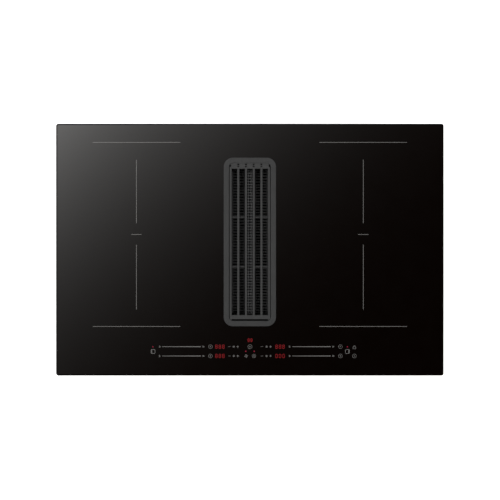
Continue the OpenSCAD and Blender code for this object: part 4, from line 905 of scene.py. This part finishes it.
# %% All the screws, each at (place, axis, length)
def placed(points, at, axis):
    """Points of a screw turned so that its tip points along axis, one of (0,0,1), (1,0,0) or (-1,0,0)."""
    z = np.asarray(axis, float)
    x = np.array([0.0, 1.0, 0.0])
    return points @ np.stack([x, np.cross(z, x), z]) + at


case_floor = box_mm("case")[0][2]
screw_list = [((s * 47.8, INTAKE_Y + 104 * k, -8.0), (-s, 0, 0), 7.2) for s in (-1, 1) for k in (-1, 0, 1)]
screw_list += [((x, y, case_floor - 3), (0, 0, 1), 7.2) for x, y in
               [(-58.6, -103.6), (-58.6, 135.6), (127.55, -136.5), (242.97, -136.5), (127.55, 108.5),
                (281.45, 108.5), (350, -140), (350, 140), (-350, -140), (-350, 140)]]
screw_list += [((s * a, b, case_floor), (0, 0, 1), 9.2) for s in (-1, 1) for a in (143, 325) for b in (-141, 205)]
screw_list += [((194.1 + 29 * math.cos(a), 29 * math.sin(a), -175.5), (0, 0, 1), 4.0)
               for a in (0, 2 * math.pi / 3, -2 * math.pi / 3)]
screw_faces = grid_faces(screw_rows, screw_cols, False, True)
screw_points, screw_faces = join([(placed(pan_head_screw(length).reshape(-1, 3), at, axis), screw_faces)
                                  for at, axis, length in screw_list])
screws = put("pan_head_screws", screw_points * MM, screw_faces, "bracket_zinc", "hob", "spring_steel", 40,
             ends_of([screw_rows * screw_cols] * len(screw_list), screw_cols))
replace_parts(screws, "fixing_screws")

# %% Threaded clamp rods
THREAD_PITCH, THREAD_DEPTH, ROD_R, PAD_R = 1.0, 0.35, 2.5, 6.0


def threaded_clamp(corner, y):
    """One clamp as four closed skins: pad, threaded rod, hexagon and wing. The rod's radius is 2.5 mm less a
    triangle wave of height / pitch - angle / 360, with flats on its crests. Gives (points, faces) for each."""
    low, high = box_mm("clamp_" + corner)
    x = (low[0] + high[0]) / 2
    tip, foot = high[2], low[2]
    parts = []
    disc = [circle(PAD_R - r, tip - z, (x, y)) for r, z in ((5.9, 0), (0.4, 0), (0, 0.4), (0, 2.1), (0.4, 2.5),
                                                            (5.9, 2.5))]
    parts.append((np.concatenate(disc), grid_faces(len(disc), 48, False, True)))
    rod_z = np.arange(tip - 2.4, foot + 8.5, -THREAD_PITCH / 8)
    a = np.linspace(0, 2 * np.pi, 24, endpoint=False)
    wave = abs(((rod_z[:, None] / THREAD_PITCH - a / (2 * np.pi)) % 1.0) * 2 - 1)
    radius = ROD_R - THREAD_DEPTH * np.clip(wave * 1.25 - 0.1, 0, 1)
    rod = np.stack([x + radius * np.cos(a), y + radius * np.sin(a), np.repeat(rod_z[:, None], 24, 1)], -1)
    parts.append((rod.reshape(-1, 3) * MM, grid_faces(len(rod_z), 24, False, True)))
    six = np.arange(6) * np.pi / 3
    nut = [np.stack([x + r * np.cos(six), y + r * np.sin(six), np.full(6, z)], 1) * MM
           for r, z in ((0.1, foot + 9), (4.1, foot + 9), (4.6, foot + 8.6), (4.6, foot + 5.4), (4.1, foot + 5),
                        (0.1, foot + 5))]
    parts.append((np.concatenate(nut), grid_faces(len(nut), 6, False, True)))
    wing = [rounded(2.5 - 2 * g, 20 - 2 * g, 1.0 - g * 0.5, z, (x, y)) for g, z in
            ((0.4, foot + 6), (0, foot + 5.6), (0, foot + 0.4), (0.4, foot))]
    parts.append((np.concatenate(wing), grid_faces(4, wing[0].shape[0], False, True)))
    return parts


for corner, y in (("left_front", -140), ("left_rear", 140), ("right_front", -140), ("right_rear", 140)):
    strips = threaded_clamp(corner, y)
    ends = ends_of([len(points) for points, _ in strips], [48, 24, 6, 40])
    clamp = put("threaded_clamp_" + corner, *join(strips), "bracket_zinc", corner + "_clamp", "spring_steel",
                extra_faces=ends)
    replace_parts(clamp, "clamp_" + corner)

# %% [markdown]
# ## Prints on the glass
# The zone marks are thin baked lines, one millimetre wide and a few hundredths thick. Each stroke is a flat bar
# with a closed skin, carried along a path: for every path point, two points to the left and right of it, above
# and below. Circles are closed paths. All the strokes of one kind go into one piece.

# %% Strokes
PRINT_LOW, PRINT_HIGH = TOP + 0.005, TOP + 0.055


def stroke(path, width, closed=False):
    """A bar along a path of (x, y) in millimetres, with one width or a width for each point. The side step is the
    mean of the normals before and after, made longer at a corner by one over the cosine of half the turn."""
    path = np.asarray(path, float)
    width = np.broadcast_to(width, len(path))[:, None]
    step = np.diff(path, axis=0, append=path[:1] if closed else path[-1:] * 2 - path[-2:-1])
    step /= np.hypot(*step.T)[:, None]
    before = np.roll(step, 1, axis=0)
    if not closed:
        before[0] = step[0]
    normal = np.stack([-(step + before)[:, 1], (step + before)[:, 0]], 1)
    normal *= (1 / np.maximum((normal ** 2).sum(1) / 2, 0.4))[:, None]
    left, right = path + normal * width / 2, path - normal * width / 2
    low, high = np.full((len(path), 1), PRINT_LOW), np.full((len(path), 1), PRINT_HIGH)
    rows = np.stack([np.hstack([left, low]), np.hstack([left, high]), np.hstack([right, high]),
                     np.hstack([right, low])], 1)
    faces = grid_faces(len(path), 4, closed, True)
    caps = np.empty((0, 4), int) if closed else np.array([[0, 1, 2, 3], [3, 2, 1, 0]]) + [[0], [4 * len(path) - 4]]
    return rows.reshape(-1, 3) * MM, np.concatenate([faces, caps])


def ring_path(x, y, radius, start=0.0, end=360.0, count=24):
    """Points round a circle, in degrees from start to end; a full circle leaves out its last point."""
    a = np.radians(np.linspace(start, end, count, endpoint=end - start < 359.9))
    return np.stack([x + radius * np.cos(a), y + radius * np.sin(a)], 1)


def disc(x, y, radius, count=20):
    """A filled dot is a closed ring stroke as wide as its radius."""
    return stroke(ring_path(x, y, radius / 2, count=count), radius * 0.98, closed=True)


def bar(x0, y0, x1, y1, width):
    """A straight stroke from (x0, y0) to (x1, y1)."""
    return stroke([(x0, y0), (x1, y1)], width)


print("a dot of 1 mm has", len(disc(0, 0, 0.5)[0]), "points")

# %% Zone marks, as (x0, y0, x1, y1) on the right; the left ones mirror them
ZONE_LINES = [(143.5, y, 324.0, y) for y in (221.5, -158.4)] + [(223.3, 31.4, 244.6, 31.4)]
ZONE_LINES += [(234.1, top, 234.1, end) for top, end in ((185.6, 54.7), (10.3, -123.3))]
zone_strokes = [bar(side * x0, y0, side * x1, y1, 1.0) for side in (-1, 1) for x0, y0, x1, y1 in ZONE_LINES]
put("zone_marks", *join(zone_strokes), "ink", "hob", "glass_black")

# %% [markdown]
# ## Keys, sliders and lamps of the touch strip
# Two rows of keys run along the front: a slider for each zone with a symbol at both ends, a timer key, a
# display of three digits, and minus, clock and plus. In the middle sit the keys of the fan. Each symbol is a
# little drawing made of strokes, and the rows are placed from one list, so both sides stay in line.

# %% Symbols, each drawn round its own middle
PEN = 0.62


def ring(radius, width, count=24):
    """A circle round the middle of a symbol."""
    return stroke(ring_path(0, 0, radius, count=count), width, closed=True)


def bridge(side):
    """A rounded square with one thick side, the two joined zones."""
    square = rounded(8.0, 8.3, 2.0, 0, corner=5)[:, :2] / MM
    return [stroke(square, 0.95, closed=True), bar(side * 2.6, -3.2, side * 2.6, 3.2, 0.9)]


def fan_blade(degrees):
    """A short arc beside the hub, turned by degrees."""
    c, s = math.cos(math.radians(degrees)), math.sin(math.radians(degrees))
    return stroke(ring_path(1.9, 0.7, 1.2, -150, 60, 9) @ np.array([[c, s], [-s, c]]), 0.8)


SYMBOLS = {
    "start": [bar(-0.8, -2.2, -0.8, 2.2, 1.0), bar(0.8, -1.5, 0.8, 1.5, 1.0)],
    "boost": [stroke([(x - 1.0, 1.5), (x + 0.7, 0), (x - 1.0, -1.5)], 0.85) for x in (-0.9, 1.1)],
    "timer": [ring(3.9, 0.6), bar(0, -1.2, 0, 1.5, 0.8), bar(-1.2, 0, -0.45, 0, 0.8), bar(0.45, 0, 1.2, 0, 0.8)],
    "minus": [bar(-2.4, 0, 2.4, 0, PEN)],
    "plus": [bar(-2.2, 0, 2.2, 0, 1.0), bar(0, -2.3, 0, -0.55, 1.0), bar(0, 0.55, 0, 2.3, 1.0)],
    "clock": [ring(1.8, PEN, 16), disc(0, 0, 0.9, 12)],
    "bridge_left": bridge(-1), "bridge_right": bridge(1),
    "fan": [*[fan_blade(turn) for turn in (0, 90, 180, 270)], disc(0, 0, 0.8, 12)],
    "filter": [ring(3.7, PEN), *[bar(-x, y, x, y, 0.7) for y, x in ((-1.6, 1.3), (0, 2.1), (1.6, 1.3))]],
    "target": [ring(4.2, 0.65), ring(0.9, 0.8, 12)],
    "lock": [stroke([(-3.0, -3.8), (3.0, -3.8), (2.4, 0.2), (-2.4, 0.2)], 0.65, closed=True),
             stroke(ring_path(0, 0.7, 1.9, 0, 180, 10), 0.65)],
    "power": [ring(3.9, 0.65), bar(0, -1.6, 0, 1.6, 0.7)],
}
print("strokes in each symbol", {name: len(strokes) for name, strokes in SYMBOLS.items()})

# %% Keys and sliders in their rows
ROW = (-200.1, -219.3)
keys = [(name, x, y) for y in ROW for name, x in (
    ("start", -186.0), ("boost", -95.8), ("timer", -81.4), ("minus", -42.0), ("clock", -33.1), ("plus", -24.9),
    ("minus", 25.0), ("clock", 34.6), ("plus", 42.6), ("start", 82.0), ("boost", 172.0), ("timer", 186.8))]
keys += [("bridge_left", -199.7, -210.0), ("bridge_right", 201.3, -210.0), ("target", 0.2, -200.1),
         ("fan", -7.7, -219.3), ("filter", 8.4, -219.3), ("lock", 215.7, -200.6), ("power", 215.7, -219.3)]
symbols = [(points + np.array([x, y, 0]) * MM, faces) for name, x, y in keys for points, faces in SYMBOLS[name]]
sliders = [stroke([(x, y), (x + 79.7, y)], (1.0, 1.7)) for x in (-180.9, 87.2) for y in ROW]
put("key_symbols", *join(symbols), "ink", "hob", "glass_black")
put("slider_bars", *join(sliders), "ink", "hob", "glass_black")

# %% [markdown]
# ## Seven-segment digits
# Every digit is made of seven hexagonal bars. Each segment is a stroke with pointed ends: here the path gets
# two extra points, and the bar is mitred at both of them. Only the lit segments are drawn, as the unlit ones
# can't be seen through the black glass. Small round lamps show which zone pair or fan mode is on.

# %% Segments of a digit
SEGMENTS = {"a": (0, 1, 0), "b": (0.5, 0.5, 1), "c": (0.5, -0.5, 1), "d": (0, -1, 0), "e": (-0.5, -0.5, 1),
            "f": (-0.5, 0.5, 1), "g": (0, 0, 0)}
SHAPES = {"8": "abcdefg", "0": "abcdef"}


def segment(x, y, length, thick, upright):
    """A six-sided bar with a top and a bottom face: the two ends run to a point."""
    half, side = length / 2, thick / 2
    flat = np.array([(-half, 0), (-half + side, side), (half - side, side), (half, 0), (half - side, -side),
                     (-half + side, -side)])
    flat = (flat[:, ::-1] if upright else flat) + (x, y)
    loops = [np.column_stack([flat, np.full(6, z)]) * MM for z in (PRINT_LOW, PRINT_HIGH)]
    middle = [np.array([[x, y, z]]) * MM for z in (PRINT_LOW, PRINT_HIGH)]
    points = np.concatenate([*loops, *middle])
    turn = np.arange(6)
    nxt = (turn + 1) % 6
    sides = np.stack([turn, nxt, nxt + 6, turn + 6], 1)
    return points, sides, np.concatenate([np.stack([turn, nxt, 0 * turn + 12], 1),
                                          np.stack([turn + 6, nxt + 6, 0 * turn + 13], 1)])


def digits(text, x, y, width, height, pitch, thick):
    """The segments of a row of digits centred at x, y."""
    made = []
    for k, shape in enumerate(text):
        at = x + (k - (len(text) - 1) / 2) * pitch
        for name in SHAPES[shape]:
            dx, dy, upright = SEGMENTS[name]
            long = (height / 2 if upright else width) - thick * 0.3
            made.append(segment(at + dx * width, y + dy * height / 2, long, thick, upright))
    return made


print("segments of an 8:", len(digits("8", 0, 0, 3.7, 7.4, 7.2, 1.1)))

# %% Displays and dots
lit = []
for text, x, y in (("888", -61.9, ROW[0]), ("888", -61.9, ROW[1]), ("888", 62.3, ROW[0]), ("000", 62.3, ROW[1])):
    lit += digits(text, x, y, 3.7, 7.4, 7.2, 1.1)
lit += digits("88", 0.3, -186.6, 3.2, 6.0, 5.8, 1.3)
digit_points, digit_quads = join([(points, quads) for points, quads, _ in lit])
digit_tris = join([(points, tris) for points, _, tris in lit])[1]
put("lit_digits", digit_points, digit_quads, "digit", "hob", "display_red", extra_faces=digit_tris.tolist())
dots = [disc(-200.1, -200.3, 1.25), disc(201.3, -200.3, 1.25), disc(-8.4, -209.6, 1.3), disc(8.8, -209.6, 1.3)]
put("lit_dots", *join(dots), "dot", "hob", "display_red")

# %% [markdown]
# ## Wound coils
# An induction coil is one length of litz wire laid in a flat spiral. The path is a rounded rectangle whose inset
# grows steadily with the turn, so it never closes on itself. The wire's section is a slightly flattened ring,
# carried along the path. The solids under it are plain bands, so this piece stands for them.

# %% Spiral of litz wire
COIL_TURNS = 19


def spiral(name, node):
    """A wire along a rounded-rectangle spiral. At turn t the inset is 1.7 + 3.15 t millimetres, the corner radius
    shrinks with it down to 20.5, and each turn has 64 points. The section is an oval of 8 points."""
    low, high = box_mm(node)
    width, depth = (high - low)[:2]
    centre = (low + high) / 2
    turn = np.arange(COIL_TURNS * 64 + 1) / 64
    inset = 1.7 + 3.15 * turn
    half_w, half_d = width / 2 - inset, depth / 2 - inset
    radius = np.maximum(62 - inset, 20.5)
    a = turn * 2 * np.pi
    reach_x = np.maximum(half_w - radius, 0.0)
    reach_y = np.maximum(half_d - radius, 0.0)
    x = centre[0] + radius * np.cos(a) + reach_x * np.tanh(4 * np.cos(a))
    y = centre[1] + radius * np.sin(a) + reach_y * np.tanh(4 * np.sin(a))
    path = np.stack([x, y], 1)
    step = np.gradient(path, axis=0)
    step /= np.hypot(*step.T)[:, None]
    normal = np.stack([-step[:, 1], step[:, 0]], 1)
    b = np.linspace(0, 2 * np.pi, 8, endpoint=False)
    rows = np.empty((len(path), 8, 3))
    rows[:, :, :2] = path[:, None] + normal[:, None] * (1.35 * np.cos(b))[None, :, None]
    rows[:, :, 2] = centre[2] + 2.1 * np.sin(b)[None, :]
    piece = put(name, rows.reshape(-1, 3) * MM, grid_faces(len(path), 8, False, True), "litz", "hob",
                "coil_copper", 70, ends_of([len(path) * 8], 8))
    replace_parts(piece, node)


for corner in ("left_front", "left_rear", "right_front", "right_rear"):
    spiral("litz_" + corner, "coil_" + corner)

# %% Places of the zones and of the mica blankets
blanket_low, blanket_high = box_mm("coil_insulation")
front_middle, rear_middle = (sum(box_mm(node)) / 2 for node in ("coil_right_front", "coil_right_rear"))
zone_x = rear_middle[0]
sensor_y = (front_middle[1], rear_middle[1])
zone_y = sum(sensor_y) / 2
blanket_w = (blanket_high[0] - zone_x) * 2
blanket_d = blanket_high[1] - blanket_low[1]
B0, B1 = blanket_low[2], blanket_high[2]


print("zones at x", round(zone_x, 1), "and sensors at y", [round(float(y), 1) for y in sensor_y])

# %% Mica blankets
def blanket_half(side, front):
    """Half a blanket, a ring skin from its rectangular edge to the round hole over one sensor."""
    y0, y1 = (zone_y - blanket_d / 2, zone_y) if front else (zone_y, zone_y + blanket_d / 2)
    hole = (side * zone_x, sensor_y[0 if front else 1])
    t = np.linspace(0, 1, 13)[:-1]
    edge = np.concatenate([np.stack([2 * t - 1, t * 0 - 1], 1), np.stack([t * 0 + 1, 2 * t - 1], 1),
                           np.stack([1 - 2 * t, t * 0 + 1], 1), np.stack([t * 0 - 1, 1 - 2 * t], 1)])
    flat = np.stack([side * zone_x + edge[:, 0] * blanket_w / 2, (y0 + y1) / 2 + edge[:, 1] * (y1 - y0) / 2], 1)
    angle = np.arctan2(flat[:, 1] - hole[1], flat[:, 0] - hole[0])
    loops = []
    for grow, z in ((0, B0 + 0.3), (0, B1 - 0.3), (0.3, B1)):
        pulled = flat - np.sign(flat - (side * zone_x, (y0 + y1) / 2)) * (grow, 0)
        loops.append(np.column_stack([pulled, np.full(48, z)]) * MM)
    for radius, z in ((6.4, B1), (6.0, B1 - 0.4), (6.0, B0 + 0.4), (6.4, B0)):
        loops.append(np.column_stack([hole[0] + radius * np.cos(angle), hole[1] + radius * np.sin(angle),
                                      np.full(48, z)]) * MM)
    loops.append(np.column_stack([flat, np.full(48, B0)]) * MM)
    return np.concatenate(loops), grid_faces(len(loops), 48, True, True)


halves = [blanket_half(side, front) for side in (-1, 1) for front in (True, False)]
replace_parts(put("mica_blankets", *join(halves), "mica", "hob", "mica_white", 40), "coil_insulation")

# %% [markdown]
# ## Springs under the coil plates
# A compression spring is a round wire along a helix, and its end turns lie flat. The height along the turn is
# a smooth step: slow at both ends, steady in the middle. Eight springs press the two plates up to the glass.

# %% A spring and its copies
def helix(radius, wire, turns, low, high, per_turn, sides=8, narrow=0.0):
    """A wire round a helix from low to high, its end turns nearly flat: the height grows by a tenth over all the
    turns and by nine tenths between them. The radius shrinks by narrow from bottom to top."""
    t = np.linspace(0, turns, turns * per_turn + 1)
    rise = 0.9 * np.clip((t - 0.75) / (turns - 1.5), 0, 1) + 0.1 * t / turns
    b = np.linspace(0, 2 * np.pi, sides, endpoint=False)
    reach = (radius - narrow * t / turns)[:, None] + wire * np.cos(b)
    out = np.stack([np.cos(2 * np.pi * t), np.sin(2 * np.pi * t)], 1)
    points = np.empty((len(t), sides, 3))
    points[:, :, :2] = out[:, None] * reach[:, :, None]
    points[:, :, 2] = (low + wire + rise * (high - low - 2 * wire))[:, None] + wire * np.sin(b)
    return points.reshape(-1, 3), grid_faces(len(t), sides, False, True)


def set_of_springs(name, spring, sides, places, finish, slot, node):
    """Copies one spring to every place in (x, y) and closes both ends of each wire."""
    points, faces = join([((spring[0] + (x, y, 0)) * MM, spring[1]) for x, y in places])
    ends = ends_of([len(spring[0])] * len(places), sides)
    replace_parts(put(name, points, faces, finish, "hob", slot, 60, ends), node)


print("a spring of 5 turns has", len(helix(5.0, 0.8, 5, 0, 10, 16)[0]), "points")

# %% Springs under the plates
spring_low, spring_high = box_mm("plate_springs")
SPRING_R, WIRE_R = 5.0, 0.8
far_x, far_y = spring_high[:2] - SPRING_R - 1.0
near_x, near_y = 2 * zone_x - far_x, spring_low[1] + SPRING_R + 1.0
set_of_springs("coil_springs", helix(SPRING_R, WIRE_R, 5, spring_low[2], spring_high[2], 16), 8,
               [(s * x, y) for s in (-1, 1) for x in (near_x, far_x) for y in (near_y, far_y)],
               "spring_steel", "spring_steel", "plate_springs")

# %% Touch springs under the sliders
touch_low, touch_high = box_mm("touch_pads")
SLIDER_REACH, TOUCH_EDGE = 80.0, 2.5
left_x, right_x = touch_low[0] + TOUCH_EDGE, touch_high[0] - TOUCH_EDGE - SLIDER_REACH
touch_x = np.concatenate([start + np.arange(8) * SLIDER_REACH / 7 for start in (left_x, right_x)])
set_of_springs("touch_springs", helix(2.1, 0.28, 5, touch_low[2], touch_high[2], 14, 6, 0.5), 6,
               [(x, y) for x in touch_x for y in (touch_low[1] + TOUCH_EDGE, touch_high[1] - TOUCH_EDGE)],
               "gold", "contact_gold", "touch_pads")

# %% [markdown]
# ## Floor, light and the reflected card
# The picture has a pure white ground without any shadow, so the floor glows softly by itself. The light is an
# even white sky. Glossy rays see a darker room with a bright horizon, as in a studio with black flags over a
# glass object. One card above the table, seen only in reflections, fades from its upper left corner: that is
# the soft grey gradient on the glass. It falls as exp(-a s - b s squared), where s runs along the diagonal
# from the upper left corner of the glass, as the card shows it in the mirror.

# %% Room light
world = bpy.data.worlds.new("studio")
world.use_nodes = True
bpy.context.scene.world = world
world.node_tree.nodes.clear()
room_node = partial(add_node, world.node_tree)
sky_place = room_node("ShaderNodeTexCoord").outputs["Generated"]
room = room_node("ShaderNodeValToRGB", {0: room_node("ShaderNodeSeparateXYZ", {0: sky_place}).outputs[2]})
for stop, position, grey in zip(room.color_ramp.elements, (0.12, 0.5), (0.85, 0.004)):
    stop.position, stop.color = position, (grey, grey, grey, 1)
sky = room_node("ShaderNodeBackground", Color=(1, 1, 1, 1), Strength=1.0)
seen_in_gloss = room_node("ShaderNodeBackground", {"Color": room.outputs[0]}, Strength=1.0)
both = room_node("ShaderNodeMixShader", {0: room_node("ShaderNodeLightPath").outputs["Is Glossy Ray"],
                                         1: sky.outputs[0], 2: seen_in_gloss.outputs[0]})
room_node("ShaderNodeOutputWorld", {"Surface": both.outputs[0]})
print("room light ready")

# %% A card that only reflections see
def flat_square(name, half, z, upward):
    """A square sheet at height z that reaches half metres to every side."""
    mesh = bpy.data.meshes.new(name)
    mesh.from_pydata([(-half, -half, z), (half, -half, z), (half, half, z), (-half, half, z)], [],
                     [(0, 1, 2, 3) if upward else (3, 2, 1, 0)])
    return shown(name, mesh)


CARD_Z, CARD_REACH = 1.5, 1.4
card = flat_square("reflected_card", CARD_REACH, CARD_Z, False)
card.visible_camera = card.visible_diffuse = card.visible_shadow = card.visible_transmission = False
print("card spans", 2 * CARD_REACH, "metres")

# %% Glow of the card, fading from a corner
card_material = bpy.data.materials.new("fading_card")
card_material.use_nodes = True
card.data.materials.append(card_material)
card_material.node_tree.nodes.clear()
card_node = partial(add_node, card_material.node_tree)
card_math = partial(math_node, card_material.node_tree)

SPREAD = 1 + CARD_Z / STAND_OFF
STEP_Y = 0.00206 * SPREAD
STEP_X = 1.1 * STEP_Y
corner_at = (-0.4 * SPREAD, 0.26 * SPREAD)
place = card_node("ShaderNodeTexCoord").outputs["Object"]
apart = card_node("ShaderNodeSeparateXYZ", {0: place}).outputs
along_x, along_y = card_math("MULTIPLY", apart[0], 1 / STEP_X), card_math("MULTIPLY", apart[1], -1 / STEP_Y)
diagonal = card_math("ADD", along_x, along_y)
diagonal = card_math("ADD", diagonal, -corner_at[0] / STEP_X + corner_at[1] / STEP_Y - 4)
diagonal = card_math("MAXIMUM", diagonal, -60.0)
squared = card_math("MULTIPLY", diagonal, diagonal)
power = card_math("ADD", card_math("MULTIPLY", diagonal, -0.0093), card_math("MULTIPLY", squared, -6.0e-6))
reach = card_node("ShaderNodeVectorMath", {0: place}, operation="DISTANCE")
reach.inputs[1].default_value = (0, 0, CARD_Z)
feather = card_node("ShaderNodeMapRange", {0: reach.outputs["Value"]}, interpolation_type="SMOOTHERSTEP",
                    From_Min=0.62, From_Max=1.3, To_Min=3.15, To_Max=0.0)
strength = card_math("MULTIPLY", card_math("EXPONENT", power), feather.outputs[0])
glow = card_node("ShaderNodeEmission", {"Strength": strength}, Color=(1, 0.99, 0.975, 1))
card_node("ShaderNodeOutputMaterial", {"Surface": glow.outputs[0]})
print("the bright corner lies at", [round(v, 3) for v in corner_at])

# %% Floor and a soft key light
FLOOR_Z = cad_low.z - 0.0004
floor = flat_square("floor", 20, FLOOR_Z, True)
paper = Finish("white_paper_floor", "f4f4f4", roughness=0.9, Emission_Strength=0.75)
paper.shader.inputs["Emission Color"].default_value = (1, 1, 1, 1)
paper.tone(paper.grain(120, 2), (0.3, "f2f2f2"), (0.7, "f7f7f7"))
floor.data.materials.append(paper.material)

key_data = bpy.data.lights.new("soft_key", "AREA")
key_data.shape = "RECTANGLE"
key_data.size, key_data.size_y = 1.6, 1.2
key_data.energy = 22
key = shown("soft_key", key_data)
key.location = (-1.9, -1.7, 1.9)
key.rotation_mode = "QUATERNION"
key.rotation_quaternion = (-key.location).to_track_quat("-Z", "Y")
print("floor at", round(1000 * FLOOR_Z, 2), "mm, key light at", tuple(round(v, 2) for v in key.location))
